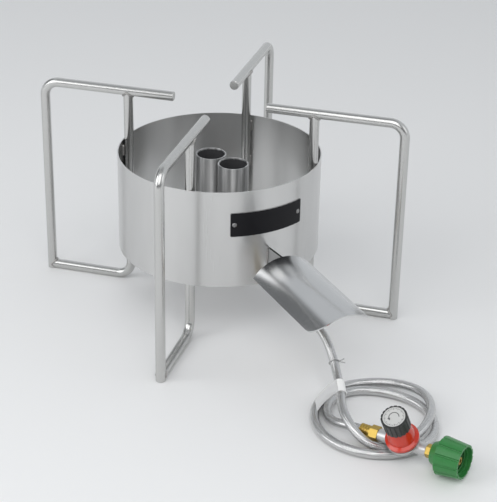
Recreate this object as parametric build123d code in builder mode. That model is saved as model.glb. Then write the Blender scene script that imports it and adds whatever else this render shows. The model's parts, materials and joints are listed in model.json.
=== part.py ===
"""Outdoor propane cooker: round-rod stand, wind ring, twin jet burner, hose and regulator.

All sizes are in millimetres. The origin is on the floor under the middle of the ring and
+Z is up. The four legs stand on +X, -X, +Y and -Y. The name plate, the heat shield and
the gas pipe all point to the front, about halfway between +X and -Y.
"""

import math
import os

from build123d import *

os.makedirs("parts", exist_ok=True)

# Shares and angles used throughout: how far a cutting body reaches past what it cuts, how
# closely an edge's length is matched, and a quarter turn
cut_margin = 1.5
cut_reach = 3.0
edge_match = 1.01
quarter_turn = 90.0

# Wind ring
ring_diameter = 305.0
ring_wall = 1.5
ring_height = 150.0
ring_bottom = 89.5

# Round-rod stand
rod_diameter = 14.3
stand_height = 324.0
leg_radius = 277.6
arm_end_radius = 71.8
rod_bend_radius = 22.0
rod_end_chamfer = 0.8
weld_gap = 0.05
ring_gap = 0.1
leg_names = {"right": 0.0, "rear": 90.0, "left": 180.0, "front": 270.0}

# Weld beads between the stand and the ring
bead_radius = 2.3
bead_length = 13.0
bead_side_offset = 6.3
bead_depths = (17.0, 77.0)

# Front direction, shared by the plate and the shield
front_azimuth = -45.0

# Name plate and its rivets
plate_width = 118.0
plate_height = 37.0
plate_thickness = 0.8
plate_corner = 2.0
plate_centre_height = 189.0
rivet_spacing = 106.0
rivet_dome_rise = 0.6
rivet_dome_width = 0.8
rivet_crown_width = 0.4
rivet_shank_diameter = 4.0
rivet_head_diameter = 7.0
rivet_head_height = 1.4
rivet_clearance = 0.04

# Heat shield and its bracket
shield_start = 193.0
shield_end = 363.0
shield_start_height = 149.0
shield_end_height = 137.5
shield_chord = 96.0
shield_rise = 23.5
shield_thickness = 1.5
shield_corner = 26.0
bracket_thickness = 3.0
bracket_reach = 252.0
bracket_root_bottom = 118.0
bracket_root_top = 146.0
bracket_tip_depth = 12.0

# Burner
burner_x = 4.0
burner_azimuth = -31.0
tube_pitch = 49.4
tube_diameter = 46.0
tube_wall = 2.0
tube_top = 227.0
tube_length = 89.0
block_length = 84.0
block_width = 24.0
block_height = 20.0
block_bottom = 98.0
gallery_radius = 4.0
gallery_end_wall = 8.0
plug_head_radius = 6.5
plug_head_length = 4.0
plug_depth = 8.0
yoke_width = 14.0
yoke_thickness = 3.0
yoke_overlap = 12.0
bar_width = 40.0
bar_thickness = 5.0
bolt_radius = 3.0
bolt_offset = 15.5
bolt_head_flats = 10.0
bolt_head_height = 4.0
bolt_grip = 12.0
jet_thread_radius = 5.0
jet_thread_depth = 8.0
jet_hex_flats = 14.0
jet_hex_height = 5.0
jet_nose_height = 6.0
jet_nose_base_radius = 4.0
jet_tip_radius = 2.2
jet_orifice_radius = 0.7
fit_clearance = 0.05

# Gas inlet: elbow, pipe, flare joint and hose end, measured outward from the burner
pipe_height = 79.0
pipe_azimuth = -44.2
pipe_diameter = 13.7
pipe_bore = 9.0
pipe_start = 9.5
pipe_end = 206.0
elbow_radius = 8.2
elbow_collar_radius = 9.6
elbow_collar_start = 14.0
elbow_end = 23.0
elbow_bore_radius = 4.0
elbow_nipple_radius = 6.6
elbow_nipple_depth = 12.0
adapter_start = 196.0
adapter_hex_end = 212.0
adapter_hex_flats = 19.0
adapter_thread_radius = 7.9
adapter_thread_end = 228.0
adapter_nose_end = 231.0
adapter_nose_radius = 5.0
adapter_bore_radius = 3.5
flare_nut_start = 216.0
flare_nut_length = 24.0
flare_nut_flats = 19.0
flare_nut_step = 232.5
tail_flange_radius = 7.5
tail_flange_thickness = 1.1
tail_radius = 6.0
hose_start = 247.0
ferrule_start = 243.0
ferrule_end = 262.0
ferrule_radius = 8.6
crimp_depth = 0.7
crimp_width = 2.6
crimp_grooves = 3

# Hose
hose_diameter = 12.5
hose_floor_gap = 0.6
hose_first_turn = 280.0
riser_points = [(224.0, -216.0, 70.0), (239.0, -236.0, 51.0), (251.0, -260.0, 39.0), (261.5, -288.0, 34.0)]
bend_share = 0.45
coil_centre = (314.0, -296.0)
coil_radius = 79.5
coil_spread = 11.6
coil_back_spread = 1.9
coil_third_share = 0.33
coil_cross_angle = 388.0
coil_first_angle = 298.0
coil_quarter_turns = 6
coil_hump = 17.4
coil_hump_reach = 90.0
coil_lead_in = [(273.0, -322.0, 31.0), (288.5, -350.5, 28.2), (307.0, -365.5, 18.5), (327.0, -367.0, 9.0)]
coil_lead_out = [(248.5, -276.0, 6.4), (255.5, -304.0, 7.2), (271.3, -327.0, 12.2)]
angle_step = 0.5
gap_sample_step = 3.0
gap_skip_length = 40.0

# Pieces on the hose
band_length = 24.0
band_wall = 0.9
band_clearance = 0.45
band_shift = 10.5
tag_wall = 0.4
tag_reach = 31.0
tag_drop = 19.5
tag_slant = 17.5
tie_share = 0.62
tie_clearance = 0.15
tie_wire_radius = 0.8
tie_tail_length = 9.0
tie_tail_spread = 22.0

# Regulator placement and body, local X along the gas port and local Z along the knob
regulator_place = (363.55, -362.69, 23.05)
port_azimuth = -18.3
port_rise = 3.16
knob_roll = 28.15
body_barrel_radius = 8.8
body_left = -37.0
body_right = 34.0
bowl_profile = [(0.0, -7.5), (4.0, -7.5), (8.5, -4.0), (13.0, 0.5), (20.0, 5.0), (22.5, 6.5)]
bowl_top = 9.9
chamber_radius = 15.0
chamber_floor = 3.0
port_bore_radius = 6.0
port_bore_depth = 9.0
passage_radius = 2.0
valve_bore_radius = 3.0
valve_bore_bottom = -5.0

# Bonnet and diaphragm
diaphragm_radius = 21.0
diaphragm_thickness = 1.2
bonnet_radius = 22.5
bonnet_rim_top = 15.0
bonnet_shoulder_radius = 18.5
bonnet_shoulder_height = 17.0
bonnet_mid_radius = 17.0
bonnet_mid_height = 26.0
bonnet_top_radius = 12.5
bonnet_top = 38.0
bonnet_wall = 2.5
neck_radius = 8.5
neck_top = 47.0

# Knob, disc, adjusting screw, button, spring and valve
knob_radius = 17.5
knob_bottom = 40.0
knob_top = 61.5
knob_wall = 2.7
knob_roof = 3.0
knob_boss_radius = 6.5
knob_boss_bottom = 47.3
knob_flutes = 18
knob_flute_radius = 1.1
disc_radius = 15.0
disc_recess = 1.2
disc_height = 1.6
disc_clearance = 0.1
screw_radius = 4.0
screw_bottom = 21.0
screw_collar_radius = 7.0
screw_collar_height = 1.6
running_clearance = 0.06
button_radius = 9.0
button_thickness = 4.0
button_top = 32.0
plate_disc_radius = 10.0
plate_disc_thickness = 1.6
plate_disc_rim = 1.4
plate_disc_rim_radius = 6.0
spring_radius = 7.5
spring_wire = 1.0
spring_turns = 4
spring_seat_gap = 0.15
poppet_radius = 2.7
poppet_bottom = -4.0
poppet_head = 3.0
poppet_stem_radius = 1.3

# Regulator ports: ferrule and fitting on the hose side, stem and coupling nut on the tank side
outlet_mouth = -64.4
outlet_ferrule_end = -49.0
outlet_ferrule_radius = 8.5
outlet_hose_end = -51.5
outlet_spigot_radius = 5.6
outlet_hex_flats = 19.0
outlet_thread_depth = 8.0
outlet_bore_radius = 2.5
stem_hex_flats = 16.0
stem_hex_end = 42.0
stem_radius = 6.0
stem_flange_start = 60.0
stem_flange_end = 64.5
stem_flange_radius = 11.5
stem_nose_radius = 7.5
stem_nose_end = 75.0
stem_tip_end = 81.0
stem_tip_radius = 5.0
stem_bore_radius = 2.5
coupling_start = 43.0
coupling_collar_end = 55.0
coupling_collar_radius = 20.5
coupling_collar_start_radius = 14.5
coupling_end = 87.5
coupling_rear_radius = 26.0
coupling_front_radius = 22.8
coupling_ribs = 12
coupling_groove_radius = 1.7
coupling_back_wall = 59.6
coupling_thread_radius = 16.6
coupling_mouth_radius = 20.0
coupling_mouth_depth = 5.5

# Values that follow from the sizes above
ring_radius = ring_diameter / 2.0
ring_inner = ring_radius - ring_wall
ring_top = ring_bottom + ring_height
rod_radius = rod_diameter / 2.0
arm_height = stand_height - rod_radius
upright_radius = ring_inner - ring_gap - rod_radius
tube_radius = tube_diameter / 2.0
tube_bottom = tube_top - tube_length
block_top = block_bottom + block_height
bar_bottom = block_bottom - bar_thickness
yoke_floor_top = block_top + yoke_thickness
pipe_radius = pipe_diameter / 2.0
hose_radius = hose_diameter / 2.0
hose_level = hose_radius + hose_floor_gap
bonnet_bottom = bowl_top + diaphragm_thickness
plate_disc_top = bonnet_bottom + plate_disc_thickness
button_bottom = button_top - button_thickness


def direction(azimuth):
    """Give the level unit vector at an azimuth in degrees."""
    return (math.cos(math.radians(azimuth)), math.sin(math.radians(azimuth)), 0.0)


def radial_plane(azimuth, origin=(0.0, 0.0, 0.0)):
    """Give the upright plane whose local X points along an azimuth and local Y points up."""
    out = direction(azimuth)
    return Plane(origin=origin, x_dir=out, z_dir=(out[1], -out[0], 0.0))


def facing_plane(azimuth, radius, height):
    """Give the plane that faces outward at a radius and a height."""
    out = direction(azimuth)
    return Plane(origin=(out[0] * radius, out[1] * radius, height), x_dir=(-out[1], out[0], 0.0), z_dir=out)


def turned(section_plane, axis, profile):
    """Turn a closed profile of local points about an axis into a solid of its own."""
    with BuildPart() as piece:
        with BuildSketch(section_plane):
            with BuildLine():
                Polyline(*profile, close=True)
            make_face()
        revolve(axis=axis)
    return piece


def finish(piece, name):
    """Name a finished piece and write its file."""
    piece.part.label = name
    export_step(piece.part, f"parts/{name}.step")


# Wind ring, with two holes for the rivets of the plate
rivet_angle = math.degrees(rivet_spacing / 2.0 / ring_radius)
rivet_azimuths = [front_azimuth - rivet_angle, front_azimuth + rivet_angle]
rivet_hole_radius = rivet_shank_diameter / 2.0 + rivet_clearance

with BuildPart() as wind_ring:
    with BuildSketch(Plane.XY.offset(ring_bottom)):
        Circle(ring_radius)
        Circle(ring_inner, mode=Mode.SUBTRACT)
    extrude(amount=ring_height)
    for azimuth in rivet_azimuths:
        with BuildSketch(facing_plane(azimuth, ring_inner - ring_wall, plate_centre_height)):
            Circle(rivet_hole_radius)
        extrude(amount=ring_wall * cut_reach, mode=Mode.SUBTRACT)
finish(wind_ring, "wind_ring")


def leg_rod(azimuth):
    """Bend one leg: a pot arm across the top and a straight leg down to the floor."""
    plane = radial_plane(azimuth)
    with BuildPart() as rod:
        with BuildLine(plane) as route:
            FilletPolyline(
                (arm_end_radius, arm_height),
                (leg_radius, arm_height),
                (leg_radius, 0.0),
                radius=rod_bend_radius,
            )
        with BuildSketch(Plane(origin=route.wire() @ 0, z_dir=route.wire() % 0)):
            Circle(rod_radius)
        sweep(path=route.wire())
        chamfer(rod.faces().filter_by(GeomType.PLANE).edges(), rod_end_chamfer)
    return rod


def brace_rod(azimuth):
    """Bend one brace: a low stretcher from the leg and an upright inside the ring."""
    plane = radial_plane(azimuth)
    out = direction(azimuth)
    with BuildPart() as rod:
        with BuildLine(plane) as route:
            FilletPolyline(
                (leg_radius, rod_radius),
                (upright_radius, rod_radius),
                (upright_radius, arm_height),
                radius=rod_bend_radius,
            )
        with BuildSketch(Plane(origin=route.wire() @ 0, z_dir=route.wire() % 0)):
            Circle(rod_radius)
        sweep(path=route.wire())
        with BuildSketch(Plane.XY):
            with Locations((leg_radius * out[0], leg_radius * out[1])):
                Circle(rod_radius + weld_gap)
        extrude(amount=rod_diameter * 2.0, mode=Mode.SUBTRACT)
        with BuildSketch(facing_plane(azimuth, arm_end_radius, arm_height)):
            Circle(rod_radius + weld_gap)
        extrude(amount=leg_radius - arm_end_radius, mode=Mode.SUBTRACT)
    return rod


for leg_name, leg_azimuth in leg_names.items():
    finish(leg_rod(leg_azimuth), f"{leg_name}_leg_rod")
    finish(brace_rod(leg_azimuth), f"{leg_name}_brace_rod")

# Weld beads in the corners between the uprights and the ring
with BuildPart() as ring_welds:
    for leg_azimuth in leg_names.values():
        out = direction(leg_azimuth)
        for side in (-1.0, 1.0):
            for depth in bead_depths:
                bead_x = ring_inner * out[0] - side * bead_side_offset * out[1]
                bead_y = ring_inner * out[1] + side * bead_side_offset * out[0]
                with Locations((bead_x, bead_y, ring_top - depth)):
                    Cylinder(bead_radius, bead_length)
                for end in (-1.0, 1.0):
                    with Locations((bead_x, bead_y, ring_top - depth + end * bead_length / 2.0)):
                        Sphere(bead_radius)
    for leg_azimuth in leg_names.values():
        out = direction(leg_azimuth)
        with BuildSketch(Plane.XY):
            with Locations((upright_radius * out[0], upright_radius * out[1])):
                Circle(rod_radius + weld_gap)
        extrude(amount=stand_height, mode=Mode.SUBTRACT)
    with BuildSketch(Plane.XY):
        Circle(ring_inner - weld_gap)
    extrude(amount=stand_height, mode=Mode.INTERSECT)
finish(ring_welds, "ring_welds")

# Name plate, rolled to the ring
plate_inner = ring_radius + weld_gap
plate_sweep = math.degrees(plate_width / ring_radius)

with BuildPart() as name_plate:
    with BuildSketch(radial_plane(front_azimuth - plate_sweep / 2.0)):
        with Locations((plate_inner + plate_thickness / 2.0, plate_centre_height)):
            Rectangle(plate_thickness, plate_height)
    revolve(axis=Axis.Z, revolution_arc=plate_sweep)
    corner_edges = [edge for edge in name_plate.edges() if edge.length < plate_thickness * edge_match]
    fillet(corner_edges, plate_corner)
    for azimuth in rivet_azimuths:
        with BuildSketch(facing_plane(azimuth, ring_inner, plate_centre_height)):
            Circle(rivet_hole_radius)
        extrude(amount=ring_wall * cut_reach, mode=Mode.SUBTRACT)
finish(name_plate, "name_plate")

# Rivets through the plate and the ring
rivet_head_radius = rivet_head_diameter / 2.0
rivet_seat = plate_inner + plate_thickness + weld_gap
rivet_back = ring_inner * math.cos(math.asin(rivet_head_radius / ring_inner)) - weld_gap


def rivet(azimuth):
    """Turn one rivet with a domed head outside and a flat head inside the ring."""
    out = direction(azimuth)
    plane = radial_plane(azimuth, origin=(0.0, 0.0, plate_centre_height))
    shank = rivet_shank_diameter / 2.0
    profile = [
        (rivet_back - rivet_head_height, 0.0),
        (rivet_back - rivet_head_height, rivet_head_radius),
        (rivet_back, rivet_head_radius),
        (rivet_back, shank),
        (rivet_seat, shank),
        (rivet_seat, rivet_head_radius),
        (rivet_seat + rivet_head_height * rivet_dome_rise, rivet_head_radius * rivet_dome_width),
        (rivet_seat + rivet_head_height, rivet_head_radius * rivet_crown_width),
        (rivet_seat + rivet_head_height, 0.0),
    ]
    return turned(plane, Axis((0.0, 0.0, plate_centre_height), out), profile)


with BuildPart() as plate_rivets:
    for azimuth in rivet_azimuths:
        add(rivet(azimuth).part)
finish(plate_rivets, "plate_rivets")

# Heat shield: an arched sheet that falls gently away from the ring
shield_slope = math.atan2(shield_start_height - shield_end_height, shield_end - shield_start)
arch_radius = (shield_chord**2 / 4.0 + shield_rise**2) / (2.0 * shield_rise)
arch_half_angle = math.degrees(math.asin(shield_chord / 2.0 / arch_radius))
front_out = direction(front_azimuth)
front_side = (-front_out[1], front_out[0], 0.0)
shield_run = shield_end - shield_start
shield_axis = (
    front_out[0] * math.cos(shield_slope),
    front_out[1] * math.cos(shield_slope),
    -math.sin(shield_slope),
)
crown_back = shield_start - shield_rise
crown_back_height = shield_start_height + shield_rise * math.tan(shield_slope)
shield_plane = Plane(
    origin=(front_out[0] * crown_back, front_out[1] * crown_back, crown_back_height),
    x_dir=front_side,
    z_dir=shield_axis,
)

with BuildPart() as heat_shield:
    with BuildSketch(shield_plane):
        with Locations((0.0, -arch_radius)):
            Circle(arch_radius)
            Circle(arch_radius - shield_thickness, mode=Mode.SUBTRACT)
        with Locations((0.0, -shield_rise / 2.0)):
            Rectangle(shield_chord * cut_margin, shield_rise, mode=Mode.INTERSECT)
    extrude(amount=(shield_run + 2.0 * shield_rise) / math.cos(shield_slope))
    with BuildSketch(Plane(origin=(0.0, 0.0, 0.0), x_dir=front_out, z_dir=(0.0, 0.0, 1.0))) as outline:
        with Locations((shield_start + shield_run / 2.0, 0.0)):
            Rectangle(shield_run, shield_chord)
        fillet(outline.vertices().group_by(Axis.X)[-1], shield_corner)
    extrude(amount=stand_height, mode=Mode.INTERSECT)
finish(heat_shield, "heat_shield")


def crown_underside(radius):
    """Give the height of the underside of the shield's crown at a distance from the axis."""
    crown = shield_start_height - (radius - shield_start) * math.tan(shield_slope)
    return crown - shield_thickness / math.cos(shield_slope) - ring_gap


# Bracket between the ring and the shield, an upright plate under the crown
with BuildPart() as shield_bracket:
    with BuildSketch(radial_plane(front_azimuth)):
        with BuildLine():
            Polyline(
                (ring_inner, bracket_root_bottom),
                (ring_inner, bracket_root_top),
                (shield_start, crown_underside(shield_start)),
                (bracket_reach, crown_underside(bracket_reach)),
                (bracket_reach, crown_underside(bracket_reach) - bracket_tip_depth),
                close=True,
            )
        make_face()
    extrude(amount=bracket_thickness / 2.0, both=True)
    with BuildSketch(Plane.XY):
        Circle(ring_radius + weld_gap)
    extrude(amount=stand_height, mode=Mode.SUBTRACT)
finish(shield_bracket, "shield_bracket")

# Burner: local X along the row of tubes, origin on the floor under the burner
burner = Plane(origin=(burner_x, 0.0, 0.0), x_dir=direction(burner_azimuth), z_dir=(0.0, 0.0, 1.0))
tube_places = {"rear": -tube_pitch / 2.0, "front": tube_pitch / 2.0}


def jet_tube(place):
    """Make one open jet tube."""
    with BuildPart() as tube:
        with BuildSketch(burner.offset(tube_bottom)):
            with Locations((place, 0.0)):
                Circle(tube_radius)
                Circle(tube_radius - tube_wall, mode=Mode.SUBTRACT)
        extrude(amount=tube_length)
    return tube


def tube_yoke(place):
    """Bend one strap yoke that stands on the block and holds its tube from outside."""
    half_span = tube_radius + ring_gap + yoke_thickness
    yoke_height = tube_bottom + yoke_overlap - block_top
    with BuildPart() as yoke:
        with BuildSketch(burner.offset(block_top)):
            with Locations((place, 0.0)):
                Rectangle(yoke_width, half_span * 2.0)
        extrude(amount=yoke_height)
        with BuildSketch(burner.offset(yoke_floor_top)):
            with Locations((place, 0.0)):
                Rectangle(yoke_width * 2.0, (half_span - yoke_thickness) * 2.0)
        extrude(amount=yoke_height, mode=Mode.SUBTRACT)
        with BuildSketch(burner.offset(block_top)):
            with Locations((place, 0.0)):
                Circle(jet_thread_radius + fit_clearance)
        extrude(amount=yoke_thickness, mode=Mode.SUBTRACT)
    return yoke


def gas_jet(place):
    """Make one jet: thread, hex and a nose with its orifice."""
    hex_top = yoke_floor_top + jet_hex_height
    bore_length = jet_thread_depth + yoke_thickness + jet_hex_height
    with BuildPart() as jet:
        with BuildSketch(burner.offset(block_top - jet_thread_depth)):
            with Locations((place, 0.0)):
                Circle(jet_thread_radius)
        extrude(amount=jet_thread_depth + yoke_thickness)
        with BuildSketch(burner.offset(yoke_floor_top)):
            with Locations((place, 0.0)):
                RegularPolygon(jet_hex_flats / 2.0, 6, major_radius=False)
        extrude(amount=jet_hex_height)
        with BuildSketch(burner.offset(hex_top)):
            with Locations((place, 0.0)):
                Circle(jet_nose_base_radius)
        with BuildSketch(burner.offset(hex_top + jet_nose_height)):
            with Locations((place, 0.0)):
                Circle(jet_tip_radius)
        loft()
        with BuildSketch(burner.offset(block_top - jet_thread_depth)):
            with Locations((place, 0.0)):
                Circle(jet_tip_radius)
        extrude(amount=bore_length, mode=Mode.SUBTRACT)
        with BuildSketch(burner.offset(hex_top)):
            with Locations((place, 0.0)):
                Circle(jet_orifice_radius)
        extrude(amount=jet_nose_height, mode=Mode.SUBTRACT)
    return jet


for tube_name, tube_place in tube_places.items():
    finish(jet_tube(tube_place), f"{tube_name}_jet_tube")
    finish(tube_yoke(tube_place), f"{tube_name}_tube_yoke")
    finish(gas_jet(tube_place), f"{tube_name}_gas_jet")

# Block that feeds both jets through a cross gallery
gallery_height = block_bottom + block_height / 2.0
gallery_length = block_length - gallery_end_wall
block_end = Plane(
    origin=burner.from_local_coords((block_length / 2.0, 0.0, gallery_height)),
    x_dir=(0.0, 0.0, 1.0),
    z_dir=burner.x_dir,
)
bolt_places = [(-bolt_offset, 0.0), (bolt_offset, 0.0)]
jet_places = [(place, 0.0) for place in tube_places.values()]

with BuildPart() as burner_block:
    with BuildSketch(burner.offset(block_bottom)):
        Rectangle(block_length, block_width)
    extrude(amount=block_height)
    with BuildSketch(block_end):
        Circle(gallery_radius)
    extrude(amount=-gallery_length, mode=Mode.SUBTRACT)
    with BuildSketch(burner.offset(block_top)):
        with Locations(*jet_places):
            Circle(jet_thread_radius + fit_clearance)
    extrude(amount=-jet_thread_depth, mode=Mode.SUBTRACT)
    with BuildSketch(burner.offset(block_bottom)):
        Circle(elbow_nipple_radius + fit_clearance)
    extrude(amount=elbow_nipple_depth - bar_thickness, mode=Mode.SUBTRACT)
    with BuildSketch(burner.offset(block_bottom)):
        with Locations(*bolt_places):
            Circle(bolt_radius + fit_clearance)
    extrude(amount=bolt_grip, mode=Mode.SUBTRACT)
finish(burner_block, "burner_block")

with BuildPart() as gallery_plug:
    with BuildSketch(block_end):
        Circle(gallery_radius - fit_clearance)
    extrude(amount=-plug_depth)
    with BuildSketch(block_end):
        RegularPolygon(plug_head_radius, 6)
    extrude(amount=plug_head_length)
finish(gallery_plug, "gallery_plug")

# Bar that carries the block, welded across the ring
bar_along = direction(-front_azimuth)
bar_plane = Plane(origin=(burner_x, 0.0, bar_bottom), x_dir=bar_along, z_dir=(0.0, 0.0, 1.0))

with BuildPart() as burner_bar:
    with BuildSketch(bar_plane):
        Rectangle(ring_diameter * cut_margin, bar_width)
    extrude(amount=bar_thickness)
    with BuildSketch(burner.offset(bar_bottom)):
        Circle(elbow_nipple_radius + fit_clearance)
        with Locations(*bolt_places):
            Circle(bolt_radius + fit_clearance)
    extrude(amount=bar_thickness, mode=Mode.SUBTRACT)
    with BuildSketch(Plane.XY.offset(bar_bottom - bar_thickness)):
        Circle(ring_inner - weld_gap)
    extrude(amount=bar_thickness * cut_reach, mode=Mode.INTERSECT)
finish(burner_bar, "burner_bar")

with BuildPart() as block_bolts:
    with BuildSketch(burner.offset(bar_bottom - bolt_head_height)):
        with Locations(*bolt_places):
            RegularPolygon(bolt_head_flats / 2.0, 6, major_radius=False)
    extrude(amount=bolt_head_height)
    with BuildSketch(burner.offset(bar_bottom)):
        with Locations(*bolt_places):
            Circle(bolt_radius)
    extrude(amount=bar_thickness + bolt_grip - bolt_radius)
finish(block_bolts, "block_bolts")

# Gas line: local Z runs outward under the edge of the ring
gas_out = direction(pipe_azimuth)
gas_line = Plane(origin=(burner_x, 0.0, pipe_height), x_dir=(0.0, 0.0, 1.0), z_dir=gas_out)
gas_section = radial_plane(pipe_azimuth, origin=(burner_x, 0.0, pipe_height))
gas_axis = Axis((burner_x, 0.0, pipe_height), gas_out)

with BuildPart() as inlet_elbow:
    with Locations((burner_x, 0.0, pipe_height)):
        Sphere(elbow_radius)
    with BuildSketch(burner.offset(pipe_height)):
        Circle(elbow_radius)
    extrude(amount=bar_bottom - pipe_height)
    with BuildSketch(burner.offset(bar_bottom)):
        Circle(elbow_nipple_radius)
    extrude(amount=elbow_nipple_depth)
    with BuildSketch(gas_line):
        Circle(elbow_radius)
    extrude(amount=elbow_end)
    with BuildSketch(gas_line.offset(elbow_collar_start)):
        Circle(elbow_collar_radius)
    extrude(amount=elbow_end - elbow_collar_start)
    with BuildSketch(burner.offset(pipe_height)):
        Circle(elbow_bore_radius)
    extrude(amount=bar_bottom - pipe_height + elbow_nipple_depth, mode=Mode.SUBTRACT)
    with BuildSketch(gas_line):
        Circle(elbow_bore_radius)
    extrude(amount=elbow_end, mode=Mode.SUBTRACT)
    with BuildSketch(gas_line.offset(pipe_start)):
        Circle(pipe_radius + fit_clearance)
    extrude(amount=elbow_end - pipe_start, mode=Mode.SUBTRACT)
finish(inlet_elbow, "inlet_elbow")

with BuildPart() as gas_pipe:
    with BuildSketch(gas_line.offset(pipe_start)):
        Circle(pipe_radius)
        Circle(pipe_bore / 2.0, mode=Mode.SUBTRACT)
    extrude(amount=pipe_end - pipe_start)
finish(gas_pipe, "gas_pipe")

with BuildPart() as flare_adapter:
    with BuildSketch(gas_line.offset(adapter_start)):
        RegularPolygon(adapter_hex_flats / 2.0, 6, major_radius=False)
    extrude(amount=adapter_hex_end - adapter_start)
    with BuildSketch(gas_line.offset(adapter_hex_end)):
        Circle(adapter_thread_radius)
    extrude(amount=adapter_thread_end - adapter_hex_end)
    with BuildSketch(gas_line.offset(adapter_thread_end)):
        Circle(adapter_thread_radius)
    with BuildSketch(gas_line.offset(adapter_nose_end)):
        Circle(adapter_nose_radius)
    loft()
    with BuildSketch(gas_line.offset(adapter_start)):
        Circle(adapter_bore_radius)
    extrude(amount=adapter_nose_end - adapter_start, mode=Mode.SUBTRACT)
    with BuildSketch(gas_line.offset(adapter_start)):
        Circle(pipe_radius + fit_clearance)
    extrude(amount=pipe_end - adapter_start, mode=Mode.SUBTRACT)
finish(flare_adapter, "flare_adapter")

flare_nut_end = flare_nut_start + flare_nut_length

with BuildPart() as flare_nut:
    with BuildSketch(gas_line.offset(flare_nut_start)):
        RegularPolygon(flare_nut_flats / 2.0, 6, major_radius=False)
    extrude(amount=flare_nut_length)
    with BuildSketch(gas_line.offset(flare_nut_start)):
        Circle(adapter_thread_radius + running_clearance)
    extrude(amount=flare_nut_step - flare_nut_start, mode=Mode.SUBTRACT)
    with BuildSketch(gas_line.offset(flare_nut_start)):
        Circle(tail_radius + running_clearance)
    extrude(amount=flare_nut_length, mode=Mode.SUBTRACT)
finish(flare_nut, "flare_nut")

tail_profile = [
    (adapter_nose_end + weld_gap, adapter_bore_radius),
    (adapter_nose_end + weld_gap, tail_flange_radius),
    (adapter_nose_end + tail_flange_thickness, tail_flange_radius),
    (adapter_nose_end + tail_flange_thickness, tail_radius),
    (hose_start - weld_gap, tail_radius),
    (hose_start - weld_gap, adapter_bore_radius),
]
hose_tailpiece = turned(gas_section, gas_axis, tail_profile)
finish(hose_tailpiece, "hose_tailpiece")


def crimped_sleeve(start, end, neck_end, outer, neck_bore):
    """List the profile of a crimped sleeve whose neck grips a stem and whose skirt grips the hose."""
    skirt_bore = hose_radius + fit_clearance
    points = [(start, neck_bore), (start, outer)]
    groove_pitch = (end - start) / (crimp_grooves + 1)
    for groove in range(1, crimp_grooves + 1):
        middle = start + groove * groove_pitch
        points.append((middle - crimp_width / 2.0, outer))
        points.append((middle - crimp_width / 4.0, outer - crimp_depth))
        points.append((middle + crimp_width / 4.0, outer - crimp_depth))
        points.append((middle + crimp_width / 2.0, outer))
    points.append((end, outer))
    points.append((end, skirt_bore))
    points.append((neck_end, skirt_bore))
    points.append((neck_end, neck_bore))
    return points


ferrule_profile = crimped_sleeve(
    ferrule_start, ferrule_end, hose_start - weld_gap, ferrule_radius, tail_radius + fit_clearance
)
burner_ferrule = turned(gas_section, gas_axis, ferrule_profile)
finish(burner_ferrule, "burner_ferrule")

# Regulator frame: local X toward the coupling nut, local Z up through the knob
azimuth_angle = math.radians(port_azimuth)
rise_angle = math.radians(port_rise)
roll_angle = math.radians(knob_roll)
port_out = Vector(
    math.cos(rise_angle) * math.cos(azimuth_angle),
    math.cos(rise_angle) * math.sin(azimuth_angle),
    math.sin(rise_angle),
)
port_up = Vector(
    -math.sin(rise_angle) * math.cos(azimuth_angle),
    -math.sin(rise_angle) * math.sin(azimuth_angle),
    math.cos(rise_angle),
)
port_side = Vector(-math.sin(azimuth_angle), math.cos(azimuth_angle), 0.0)
knob_out = port_up * math.cos(roll_angle) - port_side * math.sin(roll_angle)
knob_side = knob_out.cross(port_out)
regulator = Plane(origin=regulator_place, x_dir=port_out, z_dir=knob_out)
port_line = Plane(origin=regulator_place, x_dir=knob_out, z_dir=port_out)
knob_section = Plane(origin=regulator_place, x_dir=port_out, z_dir=port_out.cross(knob_out))
knob_axis = Axis(regulator_place, knob_out)
port_axis = Axis(regulator_place, port_out)


def port_point(distance):
    """Give the point on the port axis at a distance from the regulator's middle."""
    return Vector(*regulator_place) + port_out * distance


# Hose, first stretch: from the burner ferrule out from under the shield and down
hose_begin = (
    burner_x + gas_out[0] * hose_start,
    gas_out[1] * hose_start,
    pipe_height,
)
hose_turn = (
    burner_x + gas_out[0] * hose_first_turn,
    gas_out[1] * hose_first_turn,
    pipe_height,
)
riser_route = [Vector(*hose_begin), Vector(*hose_turn)] + [Vector(*point) for point in riser_points]


def bend_radii(points):
    """Choose a bend radius at each inner point from the shorter of the two runs that meet there."""
    radii = []
    for before, here, after in zip(points, points[1:], points[2:]):
        run_in = here - before
        run_out = after - here
        half_turn = math.radians(run_in.get_angle(run_out)) / 2.0
        radii.append(bend_share * min(run_in.length, run_out.length) / math.tan(half_turn))
    return radii


riser_radii = bend_radii(riser_route)
print("riser bend radii", [round(radius, 1) for radius in riser_radii])

with BuildPart() as hose_riser:
    with BuildLine() as riser_line:
        FilletPolyline(*riser_route, radius=riser_radii)
    with BuildSketch(Plane(origin=riser_line.wire() @ 0, z_dir=riser_line.wire() % 0)):
        Circle(hose_radius)
    sweep(path=riser_line.wire())
finish(hose_riser, "hose_riser")
hose_area = math.pi * hose_radius**2
print("riser volume ratio", round(hose_riser.part.volume / (hose_area * riser_line.wire().length), 4))
print("riser length", round(riser_line.wire().length, 1))

# Hose, second stretch: the coil, two loose turns that cross once on the right


def coil_point(angle):
    """Give the centre of the hose in the coil, turning counter-clockwise seen from above."""
    half = math.radians(angle - coil_cross_angle) / 2.0
    turn = math.radians(angle)
    spread = coil_spread + coil_back_spread * math.sin(turn)
    radius = coil_radius + spread * (math.sin(half) + coil_third_share * math.sin(3.0 * half))
    height = hose_level
    from_cross = angle - coil_cross_angle
    if abs(from_cross) < coil_hump_reach:
        height += coil_hump * math.cos(math.radians(quarter_turn * from_cross / coil_hump_reach)) ** 2
    return Vector(
        coil_centre[0] + radius * math.cos(turn),
        coil_centre[1] + radius * math.sin(turn),
        height,
    )


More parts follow.
